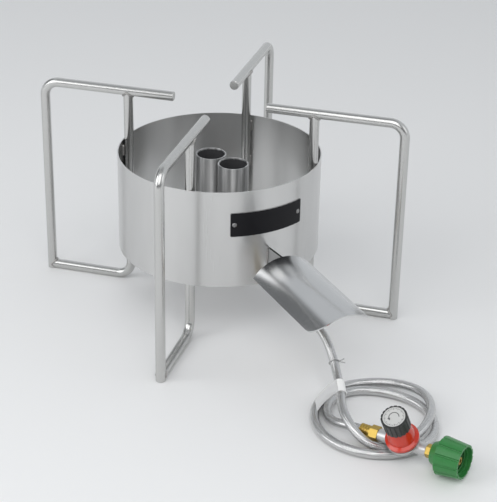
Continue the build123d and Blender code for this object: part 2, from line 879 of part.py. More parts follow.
riser_end = riser_route[-1]
riser_heading = (riser_route[-1] - riser_route[-2]).normalized()
outlet_straight = port_point(outlet_mouth - hose_diameter)
coil_angles = [coil_first_angle + quarter_turn * quarter for quarter in range(coil_quarter_turns + 1)]
coil_stations = [riser_end + riser_heading * hose_diameter]
coil_stations += [Vector(*point) for point in coil_lead_in]
first_loop_station = len(coil_stations)
coil_stations += [coil_point(angle) for angle in coil_angles]
coil_stations += [Vector(*point) for point in coil_lead_out]
coil_stations.append(outlet_straight)


def station_heading(index):
    """Give the heading at a station: from the formula in the loops, from the chords elsewhere."""
    if index == 0:
        return riser_heading
    if index == len(coil_stations) - 1:
        return port_out
    loop_index = index - first_loop_station
    if 0 <= loop_index < len(coil_angles):
        angle = coil_angles[loop_index]
        return (coil_point(angle + angle_step) - coil_point(angle - angle_step)).normalized()
    chord_in = coil_stations[index] - coil_stations[index - 1]
    chord_out = coil_stations[index + 1] - coil_stations[index]
    blend = chord_in.normalized() * chord_out.length + chord_out.normalized() * chord_in.length
    return blend.normalized()


def biarc_joint(start, start_heading, end, end_heading):
    """Give the middle point of a biarc and the heading through it."""
    chord = end - start
    both = start_heading + end_heading
    bend = 2.0 * (start_heading.dot(end_heading) - 1.0)
    slope = -2.0 * chord.dot(both)
    reach = chord.dot(chord)
    if abs(bend) < 1e-6:
        arm = -reach / slope
    else:
        arm = (-slope - math.sqrt(slope**2 - 4.0 * bend * reach)) / (2.0 * bend)
    near = start + start_heading * arm
    far = end - end_heading * arm
    return (near + far) * 0.5, (far - near).normalized()


with BuildPart() as hose_coil:
    with BuildLine() as coil_line:
        Line(riser_end, coil_stations[0])
        for index in range(len(coil_stations) - 1):
            here = coil_stations[index]
            there = coil_stations[index + 1]
            heading = station_heading(index)
            joint, joint_heading = biarc_joint(here, heading, there, station_heading(index + 1))
            TangentArc(here, joint, tangent=heading)
            TangentArc(joint, there, tangent=joint_heading)
        Line(outlet_straight, port_point(outlet_hose_end))
    with BuildSketch(Plane(origin=riser_end, z_dir=riser_heading)):
        Circle(hose_radius)
    sweep(path=coil_line.wire())
finish(hose_coil, "hose_coil")
print("coil volume ratio", round(hose_coil.part.volume / (hose_area * coil_line.wire().length), 4))
print("coil length", round(coil_line.wire().length, 1))
print("hose length", round(riser_line.wire().length + coil_line.wire().length, 1))


def least_self_gap(wire):
    """Measure the least gap between stretches of the hose that are not neighbours."""
    count = int(wire.length / gap_sample_step)
    step = wire.length / count
    skip = int(gap_skip_length / step)
    points = [wire.position_at(index / count) for index in range(count + 1)]
    least = wire.length
    for first in range(len(points)):
        for second in range(first + skip, len(points)):
            least = min(least, (points[first] - points[second]).length)
    return least - hose_diameter


print("coil least gap to itself", round(least_self_gap(coil_line.wire()), 2))

# White band near the end of the first stretch
band_inner = hose_radius + band_clearance
band_outer = band_inner + band_wall
band_middle = riser_end - riser_heading * band_shift
band_left = riser_heading.cross(Vector(0.0, 0.0, 1.0)).normalized()
band_down = riser_heading.cross(band_left)
band_plane = Plane(origin=band_middle, x_dir=band_left, z_dir=riser_heading)

with BuildPart() as hose_band:
    with BuildSketch(band_plane.offset(-band_length / 2.0)):
        Circle(band_outer)
        Circle(band_inner, mode=Mode.SUBTRACT)
    extrude(amount=band_length)
finish(hose_band, "hose_band")

# White tag: a flag that leaves the band as a tangent, and falls and slants to the left over the coil
tag_fall = (band_left * tag_reach + band_down * tag_drop).normalized()
tag_face = riser_heading.cross(tag_fall)
if tag_face.Z < 0.0:
    tag_face = -tag_face
tag_corner = band_middle + tag_face * (band_outer + weld_gap) - riser_heading * (band_length / 2.0)
tag_plane = Plane(origin=tag_corner, x_dir=riser_heading, z_dir=tag_face)
tag_length = math.hypot(tag_reach, tag_drop)
tag_side = 1.0 if tag_plane.y_dir.dot(tag_fall) > 0.0 else -1.0

with BuildPart() as hose_tag:
    with BuildSketch(tag_plane):
        with BuildLine():
            Polyline(
                (0.0, 0.0),
                (band_length, 0.0),
                (band_length + tag_slant, tag_side * tag_length),
                (tag_slant, tag_side * tag_length),
                close=True,
            )
        make_face()
    extrude(amount=tag_wall)
finish(hose_tag, "hose_tag")

# Wire tie round the first stretch, with its two twisted ends standing off
tie_place = riser_line.wire().position_at(tie_share)
tie_heading = riser_line.wire().tangent_at(tie_share)
tie_plane = Plane(origin=tie_place, x_dir=Vector(0.0, 0.0, 1.0).cross(tie_heading), z_dir=tie_heading)
tie_radius = hose_radius + tie_wire_radius + tie_clearance

with BuildPart() as hose_tie:
    tie_out = tie_plane.x_dir
    with BuildSketch(Plane(origin=tie_place, x_dir=tie_out, z_dir=tie_out.cross(tie_heading))):
        with Locations((tie_radius, 0.0)):
            Circle(tie_wire_radius)
    revolve(axis=Axis(tie_place, tie_heading))
    for tail_side in (-1.0, 1.0):
        tail_angle = math.radians(tail_side * tie_tail_spread)
        tail_dir = tie_out * math.cos(tail_angle) + tie_heading * math.sin(tail_angle)
        with BuildSketch(Plane(origin=tie_place + tie_out * tie_radius, z_dir=tail_dir)):
            Circle(tie_wire_radius)
        extrude(amount=tie_tail_length)
finish(hose_tie, "hose_tie")

# Regulator, hose side: crimped ferrule and hex fitting
outlet_section = Plane(origin=regulator_place, x_dir=-port_out, z_dir=port_out.cross(knob_out) * -1.0)
outlet_axis = Axis(regulator_place, -port_out)
outlet_profile = crimped_sleeve(
    -outlet_ferrule_end,
    -outlet_mouth,
    -outlet_hose_end,
    outlet_ferrule_radius,
    outlet_spigot_radius + fit_clearance,
)
regulator_ferrule = turned(outlet_section, outlet_axis, outlet_profile)
finish(regulator_ferrule, "regulator_ferrule")

with BuildPart() as outlet_fitting:
    with BuildSketch(port_line.offset(outlet_hose_end + weld_gap)):
        Circle(outlet_spigot_radius)
    extrude(amount=outlet_ferrule_end - outlet_hose_end)
    with BuildSketch(port_line.offset(outlet_ferrule_end + weld_gap)):
        RegularPolygon(outlet_hex_flats / 2.0, 6, major_radius=False)
    extrude(amount=body_left - outlet_ferrule_end - 2.0 * weld_gap)
    with BuildSketch(port_line.offset(body_left - weld_gap)):
        Circle(port_bore_radius - fit_clearance)
    extrude(amount=outlet_thread_depth)
    with BuildSketch(port_line.offset(outlet_hose_end)):
        Circle(outlet_bore_radius)
    extrude(amount=body_left - outlet_hose_end + outlet_thread_depth, mode=Mode.SUBTRACT)
finish(outlet_fitting, "outlet_fitting")

# Regulator body: a barrel with a bowl on top, a chamber under the diaphragm and two ports
with BuildPart() as regulator_body:
    with BuildSketch(port_line.offset(body_left)):
        Circle(body_barrel_radius)
    extrude(amount=body_right - body_left)
    with BuildSketch(knob_section):
        with BuildLine():
            Polyline(*bowl_profile, (bonnet_radius, bowl_top), (0.0, bowl_top), close=True)
        make_face()
    revolve(axis=knob_axis)
    with BuildSketch(regulator.offset(chamber_floor)):
        Circle(chamber_radius)
    extrude(amount=bonnet_radius, mode=Mode.SUBTRACT)
    with BuildSketch(regulator.offset(valve_bore_bottom)):
        Circle(valve_bore_radius)
    extrude(amount=chamber_floor - valve_bore_bottom, mode=Mode.SUBTRACT)
    with BuildSketch(port_line.offset(body_left)):
        Circle(port_bore_radius)
    extrude(amount=port_bore_depth, mode=Mode.SUBTRACT)
    with BuildSketch(port_line.offset(body_right - port_bore_depth)):
        Circle(port_bore_radius)
    extrude(amount=port_bore_depth, mode=Mode.SUBTRACT)
    with BuildSketch(port_line.offset(body_left)):
        Circle(passage_radius)
    extrude(amount=body_right - body_left, mode=Mode.SUBTRACT)
finish(regulator_body, "regulator_body")

with BuildPart() as diaphragm:
    with BuildSketch(regulator.offset(bowl_top)):
        Circle(diaphragm_radius)
    extrude(amount=diaphragm_thickness)
finish(diaphragm, "diaphragm")

# Bonnet: a turned dome with a rim, a shoulder and a neck for the screw
screw_hole_radius = screw_radius + running_clearance
bonnet_roof = bonnet_top - bonnet_wall

with BuildPart() as regulator_bonnet:
    with BuildSketch(knob_section):
        with BuildLine():
            Polyline(
                (screw_hole_radius, bonnet_roof),
                (screw_hole_radius, neck_top),
                (neck_radius, neck_top),
                (neck_radius, bonnet_top),
                (bonnet_top_radius, bonnet_top),
            )
            ThreePointArc(
                (bonnet_top_radius, bonnet_top),
                (bonnet_mid_radius, bonnet_mid_height),
                (bonnet_shoulder_radius, bonnet_shoulder_height),
            )
            Polyline(
                (bonnet_shoulder_radius, bonnet_shoulder_height),
                (bonnet_radius, bonnet_rim_top),
                (bonnet_radius, bonnet_bottom + weld_gap),
                (bonnet_shoulder_radius - bonnet_wall, bonnet_bottom + weld_gap),
                (bonnet_shoulder_radius - bonnet_wall, bonnet_shoulder_height),
            )
            ThreePointArc(
                (bonnet_shoulder_radius - bonnet_wall, bonnet_shoulder_height),
                (bonnet_mid_radius - bonnet_wall, bonnet_mid_height),
                (bonnet_top_radius - bonnet_wall, bonnet_roof),
            )
            Line((bonnet_top_radius - bonnet_wall, bonnet_roof), (screw_hole_radius, bonnet_roof))
        make_face()
    revolve(axis=knob_axis)
finish(regulator_bonnet, "regulator_bonnet")

# Knob: a fluted cap with a boss on the screw and a recess for the disc
with BuildPart() as regulator_knob:
    with BuildSketch(regulator.offset(knob_bottom)):
        Circle(knob_radius)
        with PolarLocations(knob_radius, knob_flutes):
            Circle(knob_flute_radius, mode=Mode.SUBTRACT)
    extrude(amount=knob_top - knob_bottom)
    with BuildSketch(regulator.offset(knob_bottom)):
        Circle(knob_radius - knob_wall)
        Circle(knob_boss_radius, mode=Mode.SUBTRACT)
    extrude(amount=knob_top - knob_bottom - knob_roof - disc_recess, mode=Mode.SUBTRACT)
    with BuildSketch(regulator.offset(knob_bottom)):
        Circle(knob_radius - knob_wall)
    extrude(amount=knob_boss_bottom - knob_bottom, mode=Mode.SUBTRACT)
    with BuildSketch(regulator.offset(knob_bottom)):
        Circle(screw_radius + fit_clearance)
    extrude(amount=knob_top - knob_bottom - knob_roof - disc_recess, mode=Mode.SUBTRACT)
    with BuildSketch(regulator.offset(knob_top - disc_recess)):
        Circle(disc_radius + disc_clearance)
    extrude(amount=disc_recess, mode=Mode.SUBTRACT)
finish(regulator_knob, "regulator_knob")

with BuildPart() as knob_disc:
    with BuildSketch(regulator.offset(knob_top - disc_recess + weld_gap)):
        Circle(disc_radius)
    extrude(amount=disc_height)
    chamfer(knob_disc.faces().sort_by(knob_axis)[-1].edges(), disc_height / 4.0)
finish(knob_disc, "knob_disc")

# Adjusting screw, held by a collar under the roof of the bonnet and by the knob above its neck
collar_top = bonnet_roof - running_clearance
screw_profile = [
    (0.0, screw_bottom),
    (screw_radius, screw_bottom),
    (screw_radius, collar_top - screw_collar_height),
    (screw_collar_radius, collar_top - screw_collar_height),
    (screw_collar_radius, collar_top),
    (screw_radius, collar_top),
    (screw_radius, knob_top - knob_roof - disc_recess - weld_gap),
    (0.0, knob_top - knob_roof - disc_recess - weld_gap),
]
adjusting_screw = turned(knob_section, knob_axis, screw_profile)
finish(adjusting_screw, "adjusting_screw")

with BuildPart() as spring_button:
    with BuildSketch(regulator.offset(button_bottom)):
        Circle(button_radius)
        Circle(screw_radius + running_clearance, mode=Mode.SUBTRACT)
    extrude(amount=button_thickness)
finish(spring_button, "spring_button")

plate_profile = [
    (0.0, bonnet_bottom + weld_gap),
    (plate_disc_radius, bonnet_bottom + weld_gap),
    (plate_disc_radius, plate_disc_top),
    (plate_disc_rim_radius, plate_disc_top),
    (plate_disc_rim_radius, plate_disc_top + plate_disc_rim),
    (0.0, plate_disc_top + plate_disc_rim),
]
diaphragm_plate = turned(knob_section, knob_axis, plate_profile)
finish(diaphragm_plate, "diaphragm_plate")

# Control spring between the plate and the button
spring_low = plate_disc_top + spring_wire + spring_seat_gap
spring_high = button_bottom - spring_wire - spring_seat_gap
spring_pitch = (spring_high - spring_low) / spring_turns
print("spring gap to itself", round(spring_pitch - 2.0 * spring_wire, 2))


def spring_point(half_turn):
    """Give a point of the spring's centre line at a count of half turns."""
    angle = math.pi * half_turn
    return regulator.from_local_coords(
        (
            spring_radius * math.cos(angle),
            spring_radius * math.sin(angle),
            spring_low + spring_pitch * half_turn / 2.0,
        )
    )


def spring_heading(half_turn):
    """Give the heading of the spring's centre line at a count of half turns."""
    angle = math.pi * half_turn
    lead = spring_pitch / (2.0 * math.pi)
    heading = (
        port_out * (-spring_radius * math.sin(angle))
        + knob_side * (spring_radius * math.cos(angle))
        + knob_out * lead
    )
    return heading.normalized()


with BuildPart() as control_spring:
    with BuildLine() as spring_line:
        for half_turn in range(2 * spring_turns):
            here = spring_point(half_turn)
            there = spring_point(half_turn + 1)
            heading = spring_heading(half_turn)
            joint, joint_heading = biarc_joint(here, heading, there, spring_heading(half_turn + 1))
            TangentArc(here, joint, tangent=heading)
            TangentArc(joint, there, tangent=joint_heading)
    with BuildSketch(Plane(origin=spring_point(0), z_dir=spring_heading(0))):
        Circle(spring_wire)
    sweep(path=spring_line.wire())
finish(control_spring, "control_spring")

poppet_profile = [
    (0.0, poppet_bottom),
    (poppet_radius, poppet_bottom),
    (poppet_radius, poppet_bottom + poppet_head),
    (poppet_stem_radius, poppet_bottom + poppet_head),
    (poppet_stem_radius, bowl_top - weld_gap),
    (0.0, bowl_top - weld_gap),
]
valve_poppet = turned(knob_section, knob_axis, poppet_profile)
finish(valve_poppet, "valve_poppet")

# Regulator, tank side: inlet stem with its shoulder and nose
with BuildPart() as inlet_stem:
    with BuildSketch(port_line.offset(body_right - port_bore_depth + weld_gap)):
        Circle(port_bore_radius - fit_clearance)
    extrude(amount=port_bore_depth)
    with BuildSketch(port_line.offset(body_right + weld_gap)):
        RegularPolygon(stem_hex_flats / 2.0, 6, major_radius=False)
    extrude(amount=stem_hex_end - body_right)
    with BuildSketch(port_line.offset(stem_hex_end)):
        Circle(stem_radius)
    extrude(amount=stem_flange_start - stem_hex_end)
    with BuildSketch(port_line.offset(stem_flange_start)):
        Circle(stem_flange_radius)
    extrude(amount=stem_flange_end - stem_flange_start)
    with BuildSketch(port_line.offset(stem_flange_end)):
        Circle(stem_nose_radius)
    extrude(amount=stem_nose_end - stem_flange_end)
    with BuildSketch(port_line.offset(stem_nose_end)):
        Circle(stem_nose_radius)
    with BuildSketch(port_line.offset(stem_tip_end)):
        Circle(stem_tip_radius)
    loft()
    with BuildSketch(port_line.offset(body_right - port_bore_depth)):
        Circle(stem_bore_radius)
    extrude(amount=stem_tip_end, mode=Mode.SUBTRACT)
finish(inlet_stem, "inlet_stem")


# Coupling nut: a conical collar and a ribbed, tapering grip
with BuildPart() as coupling_nut:
    grip_ends = [(coupling_rear_radius, coupling_collar_end), (coupling_front_radius, coupling_end)]
    for radius, place in grip_ends:
        with BuildSketch(port_line.offset(place)):
            Circle(radius)
            with PolarLocations(radius, coupling_ribs):
                Circle(coupling_groove_radius, mode=Mode.SUBTRACT)
    loft(ruled=True)
    with BuildSketch(port_line.offset(coupling_start)):
        Circle(coupling_collar_start_radius)
    with BuildSketch(port_line.offset(coupling_collar_end)):
        Circle(coupling_collar_radius)
    loft(ruled=True)
    with BuildSketch(port_line.offset(coupling_start)):
        Circle(stem_radius + running_clearance)
    extrude(amount=coupling_end - coupling_start, mode=Mode.SUBTRACT)
    with BuildSketch(port_line.offset(coupling_back_wall)):
        Circle(coupling_thread_radius)
    extrude(amount=coupling_end - coupling_back_wall, mode=Mode.SUBTRACT)
    with BuildSketch(port_line.offset(coupling_end - coupling_mouth_depth)):
        Circle(coupling_mouth_radius)
    extrude(amount=coupling_mouth_depth, mode=Mode.SUBTRACT)
finish(coupling_nut, "coupling_nut")
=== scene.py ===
"""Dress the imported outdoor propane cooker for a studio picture.

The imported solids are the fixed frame. This script gives each of them a procedural
finish, lays the hose on one smooth line, adds the weld beads, trim and threads that
the solids leave out, and sets up a pale studio with the photograph's camera.
"""

from __future__ import annotations

import json
import logging
import math
from dataclasses import dataclass, field
from enum import Enum
from typing import Sequence

import bpy
import numpy as np
from mathutils import Matrix

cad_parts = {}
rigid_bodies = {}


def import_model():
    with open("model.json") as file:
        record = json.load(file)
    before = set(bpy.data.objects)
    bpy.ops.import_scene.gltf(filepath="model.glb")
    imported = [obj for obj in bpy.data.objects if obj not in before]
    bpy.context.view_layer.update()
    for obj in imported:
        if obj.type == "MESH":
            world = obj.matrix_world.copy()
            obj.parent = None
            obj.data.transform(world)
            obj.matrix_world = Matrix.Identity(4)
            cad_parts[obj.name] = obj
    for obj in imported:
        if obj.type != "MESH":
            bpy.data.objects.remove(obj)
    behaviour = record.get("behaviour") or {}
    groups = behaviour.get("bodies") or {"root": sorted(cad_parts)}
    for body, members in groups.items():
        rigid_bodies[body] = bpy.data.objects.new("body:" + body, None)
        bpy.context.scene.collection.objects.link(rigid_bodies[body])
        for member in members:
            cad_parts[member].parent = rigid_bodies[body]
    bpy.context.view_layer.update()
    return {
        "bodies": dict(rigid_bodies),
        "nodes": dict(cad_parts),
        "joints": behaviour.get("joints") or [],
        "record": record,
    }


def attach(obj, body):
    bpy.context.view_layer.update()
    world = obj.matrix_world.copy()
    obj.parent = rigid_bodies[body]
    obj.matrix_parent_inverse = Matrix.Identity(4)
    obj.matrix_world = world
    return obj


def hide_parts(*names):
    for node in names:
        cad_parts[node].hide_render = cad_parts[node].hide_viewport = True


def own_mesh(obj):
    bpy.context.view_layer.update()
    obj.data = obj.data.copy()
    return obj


log = logging.getLogger("cooker")
Array = np.ndarray
Socket = bpy.types.NodeSocket
Pair = tuple[float, float]
Triple = tuple[float, float, float]

MM = 0.001
MICRON = 0.000001
UP = np.array([0.0, 0.0, 1.0])
QUARTER_TURN = 0.25
FULL_TURN = 360.0

# Sizes repeated from the part, in millimetres and degrees
RING_RADIUS = 152.5
ROD_RADIUS = 7.15
LEG_RADIUS = 277.6
UPRIGHT_RADIUS = 143.75
ARM_HEIGHT = 316.85
FRONT_AZIMUTH = -45.0
BURNER_X = 4.0
PIPE_AZIMUTH = -44.2
PIPE_HEIGHT = 79.0
HOSE_RADIUS = 6.25
HOSE_LEVEL = 6.85
REGULATOR_MIDDLE = (363.55, -362.69, 23.05)
REGULATOR_ANGLES = (-18.3, 3.16, 28.15)

# Directions that the grain of some pieces follows
PIPE_AXIS = (0.7169, -0.6972, 0.0)
PORT_AXIS = (0.948, -0.3135, 0.0551)
SHIELD_ACROSS = (0.7071, 0.7071, 0.0)

# How much detail the noise of a finish has
SOFT_DETAIL = 2.0
FINE_DETAIL = 3.0
CRISP_DETAIL = 6.0


class Grain(Enum):
    """How the small marks of a surface run."""

    DRAWN = "drawn"
    ROLLED = "rolled"
    SHEET = "sheet"
    TURNED = "turned"
    EVEN = "even"
    BRAID = "braid"
    PAPER = "paper"


@dataclass(frozen=True)
class Finish:
    """The look of one material.

    Args:
        name: Name of the material.
        colour: Linear base colour.
        roughness: Mean roughness.
        metallic: 1 for bare metal, 0 for plastics and paint.
        grain: How the small marks run.
        scale: Marks per metre across the grain.
        depth: Height of the marks in micrometres.
        tone: How far the colour varies, as a share.
        gloss: How far the roughness varies.
        coat: Weight of a clear layer on top.
        coat_roughness: Roughness of the clear layer.
        anisotropy: How far a brushed highlight is drawn out, upright.
        axis: Axis of a turned or drawn piece, or the way across a sheet's streaks.
        alpha: How much of what is behind a thin film it hides.
        specular: Strength of the plain surface reflection.
    """

    name: str
    colour: Triple
    roughness: float
    metallic: float = 1.0
    grain: Grain = Grain.EVEN
    scale: float = 900.0
    depth: float = 50.0
    tone: float = 0.06
    gloss: float = 0.08
    coat: float = 0.0
    coat_roughness: float = 0.08
    anisotropy: float = 0.0
    axis: Triple = (0.0, 0.0, 1.0)
    alpha: float = 1.0
    specular: float = 0.5


class Nodes:
    """Adds nodes to a tree and joins them, left to right."""

    def __init__(self, tree: bpy.types.NodeTree) -> None:
        self.tree = tree

    def node(self, kind: str, **settings: object) -> bpy.types.Node:
        """Add a node and set its properties.

        Args:
            kind: Blender's name of the node type.
            settings: Properties to set on the node.

        Returns:
            The new node.
        """
        made = self.tree.nodes.new(kind)
        for key, value in settings.items():
            setattr(made, key, value)
        return made

    def link(self, source: Socket, target: Socket) -> None:
        """Join an output to an input."""
        self.tree.links.new(source, target)

    def feed(self, target: Socket, value: object) -> None:
        """Give an input either a link or a plain value."""
        if isinstance(value, Socket):
            self.link(value, target)
        else:
            target.default_value = value

    def math(self, operation: str, *values: object) -> Socket:
        """Add a math node.

        Args:
            operation: Blender's name of the operation.
            values: Up to three sockets or numbers.

        Returns:
            The result's socket.
        """
        made = self.node("ShaderNodeMath", operation=operation)
        for index, value in enumerate(values):
            self.feed(made.inputs[index], value)
        return made.outputs[0]

    def remap(self, value: Socket, target: Pair, source: Pair = (0.0, 1.0), smooth: bool = False) -> Socket:
        """Map a value from a source range onto a target range, eased at both ends if smooth."""
        made = self.node("ShaderNodeMapRange", interpolation_type="SMOOTHSTEP" if smooth else "LINEAR")
        self.link(value, made.inputs["Value"])
        made.inputs["From Min"].default_value, made.inputs["From Max"].default_value = source
        made.inputs["To Min"].default_value, made.inputs["To Max"].default_value = target
        return made.outputs["Result"]

    def position(self) -> Socket:
        """Give the point on the surface in the part's frame."""
        return self.node("ShaderNodeTexCoord").outputs["Object"]

    def along(self, vector: Socket, axis: Sequence[float]) -> Socket:
        """Give how far a point lies along an axis."""
        made = self.node("ShaderNodeVectorMath", operation="DOT_PRODUCT")
        self.link(vector, made.inputs[0])
        made.inputs[1].default_value = tuple(axis)
        return made.outputs["Value"]


class Graph(Nodes):
    """Builds the nodes of one material."""

    def __init__(self, name: str) -> None:
        self.material = bpy.data.materials.new(name)
        self.material.use_nodes = True
        super().__init__(self.material.node_tree)
        self.tree.nodes.clear()
        output = self.node("ShaderNodeOutputMaterial")
        self.shader = self.node("ShaderNodeBsdfPrincipled")
        self.link(self.shader.outputs["BSDF"], output.inputs["Surface"])

    def noise(self, vector: Socket, scale: float, detail: float) -> Socket:
        """Add a noise texture on a vector and give its value."""
        made = self.node("ShaderNodeTexNoise")
        self.link(vector, made.inputs["Vector"])
        made.inputs["Scale"].default_value = scale
        made.inputs["Detail"].default_value = detail
        return made.outputs["Fac"]

    def combine(self, *values: object) -> Socket:
        """Join three numbers or sockets into a vector."""
        made = self.node("ShaderNodeCombineXYZ")
        for index, value in enumerate(values):
            self.feed(made.inputs[index], value)
        return made.outputs["Vector"]

    def split(self, vector: Socket) -> Sequence[Socket]:
        """Split a vector into its three numbers."""
        made = self.node("ShaderNodeSeparateXYZ")
        self.link(vector, made.inputs["Vector"])
        return made.outputs

    def stretch(self, vector: Socket, scale: Sequence[float]) -> Socket:
        """Scale a vector along its three axes."""
        made = self.node("ShaderNodeVectorMath", operation="MULTIPLY")
        self.link(vector, made.inputs[0])
        made.inputs[1].default_value = scale
        return made.outputs["Vector"]

    def tint(self, factor: Socket, dark: Triple, light: Triple) -> Socket:
        """Mix two colours by a factor."""
        made = self.node("ShaderNodeMix", data_type="RGBA")
        self.link(factor, made.inputs["Factor"])
        made.inputs["A"].default_value = (*dark, 1.0)
        made.inputs["B"].default_value = (*light, 1.0)
        return made.outputs["Result"]

    def bump(self, height: Socket, distance: float) -> None:
        """Let a height give the shader its surface relief."""
        made = self.node("ShaderNodeBump")
        made.inputs["Distance"].default_value = distance
        made.inputs["Strength"].default_value = 1.0
        self.link(height, made.inputs["Height"])
        self.link(made.outputs["Normal"], self.shader.inputs["Normal"])


@dataclass
class Paintbox:
    """Makes each finish once and hands it out.

    The broad scales are in marks per metre. What a pattern keeps is the share of its
    scale that is left along the grain.

    Args:
        made: The materials made so far, by name.
    """

    made: dict[str, bpy.types.Material] = field(default_factory=dict)
    least_roughness: float = 0.02
    rolled_keep: float = 0.015
    rolled_broad_keep: float = 0.2
    rolled_broad: float = 22.0
    turned_broad: float = 60.0
    drawn_lost: float = 0.97
    drawn_broad: float = 140.0
    sheet_keep: float = 0.02
    sheet_broad: float = 16.0
    broad_share: float = 0.06
    strands: float = 18.0
    braid_shade_power: float = 0.6

    def get(self, finish: Finish) -> bpy.types.Material:
        """Give the material of a finish.

        Args:
            finish: The finish to build or look up.

        Returns:
            The Blender material.
        """
        if finish.name not in self.made:
            self.made[finish.name] = self.build(finish)
        return self.made[finish.name]

    def build(self, finish: Finish) -> bpy.types.Material:
        """Build the nodes of a finish."""
        graph = Graph(finish.name)
        shader = graph.shader
        shader.inputs["Metallic"].default_value = finish.metallic
        shader.inputs["Coat Weight"].default_value = finish.coat
        shader.inputs["Coat Roughness"].default_value = finish.coat_roughness
        shader.inputs["Anisotropic"].default_value = finish.anisotropy
        shader.inputs["Alpha"].default_value = finish.alpha
        shader.inputs["Specular IOR Level"].default_value = finish.specular
        if finish.anisotropy > 0.0:
            tangent = graph.node("ShaderNodeTangent", direction_type="RADIAL", axis="Z")
            graph.link(tangent.outputs["Tangent"], shader.inputs["Tangent"])
            shader.inputs["Anisotropic Rotation"].default_value = QUARTER_TURN
        fine, broad = self.marks(graph, finish)
        dark = tuple(channel * (1.0 - finish.tone) for channel in finish.colour)
        light = tuple(min(1.0, channel * (1.0 + finish.tone)) for channel in finish.colour)
        graph.link(graph.tint(broad, dark, light), shader.inputs["Base Color"])
        low = max(self.least_roughness, finish.roughness - finish.gloss)
        both = graph.math("MULTIPLY_ADD", fine, 0.5, graph.math("MULTIPLY", broad, 0.5))
        graph.link(graph.remap(both, (low, finish.roughness + finish.gloss)), shader.inputs["Roughness"])
        graph.bump(fine, finish.depth * MICRON)
        return graph.material

    def marks(self, graph: Graph, finish: Finish) -> tuple[Socket, Socket]:
        """Make the fine marks and the broad variation of a finish.

        Args:
            graph: Nodes of the material.
            finish: The finish.

        Returns:
            Two sockets from 0 to 1: fine marks and broad variation.
        """
        if finish.grain is Grain.BRAID:
            return self.braid(graph)
        point = graph.position()
        fine, broad = point, point
        detail, broad_scale = FINE_DETAIL, finish.scale * self.broad_share
        if finish.grain is Grain.ROLLED:
            x, y, z = graph.split(point)
            turn = graph.math("MULTIPLY", graph.math("ARCTAN2", y, x), RING_RADIUS * MM)
            fine = graph.combine(turn, 0.0, graph.math("MULTIPLY", z, self.rolled_keep))
            # On the ring this broad variation paints faint upright reflection bands into the colour as well
            # as varying roughness.
            broad = graph.combine(turn, 0.0, graph.math("MULTIPLY", z, self.rolled_broad_keep))
            broad_scale = self.rolled_broad
        elif finish.grain is Grain.TURNED:
            fine = graph.combine(graph.along(point, finish.axis), 0.0, 0.0)
            detail, broad_scale = SOFT_DETAIL, self.turned_broad
        elif finish.grain is Grain.DRAWN:
            keep = 1.0 - self.drawn_lost * np.abs(np.array(finish.axis))
            fine = broad = graph.stretch(point, keep.tolist())
            broad_scale = self.drawn_broad
        elif finish.grain is Grain.SHEET:
            height = graph.math("MULTIPLY", graph.along(point, UP), self.sheet_keep)
            fine = graph.combine(graph.along(point, finish.axis), height, 0.0)
            broad_scale = self.sheet_broad
        elif finish.grain is Grain.PAPER:
            detail = CRISP_DETAIL
        return graph.noise(fine, finish.scale, detail), graph.noise(broad, broad_scale, SOFT_DETAIL)

    def braid(self, graph: Graph) -> tuple[Socket, Socket]:
        """Weave two sets of strands over and under each other from the tube's own UVs."""
        around, run, _ = graph.split(graph.node("ShaderNodeTexCoord").outputs["UV"])
        pitch = self.strands / (2.0 * math.pi * HOSE_RADIUS * MM)
        lead = graph.math("MULTIPLY", around, self.strands)
        slant = graph.math("MULTIPLY", run, pitch)
        first = graph.math("ADD", lead, slant)
        second = graph.math("SUBTRACT", lead, slant)
        crowns = []
        for strand in (first, second):
            wave = graph.math("PINGPONG", strand, 0.5)
            crowns.append(graph.math("MULTIPLY", wave, 2.0))
        cell = graph.math("ADD", graph.math("FLOOR", first), graph.math("FLOOR", second))
        over = graph.math("PINGPONG", cell, 1.0)
        under = graph.math("SUBTRACT", 1.0, over)
        weave = graph.math("MULTIPLY_ADD", crowns[0], over, graph.math("MULTIPLY", crowns[1], under))
        # The colour follows the weave's height: painted shade in the valleys between strands and a painted
        # highlight on their crowns.
        return weave, graph.math("POWER", weave, self.braid_shade_power)


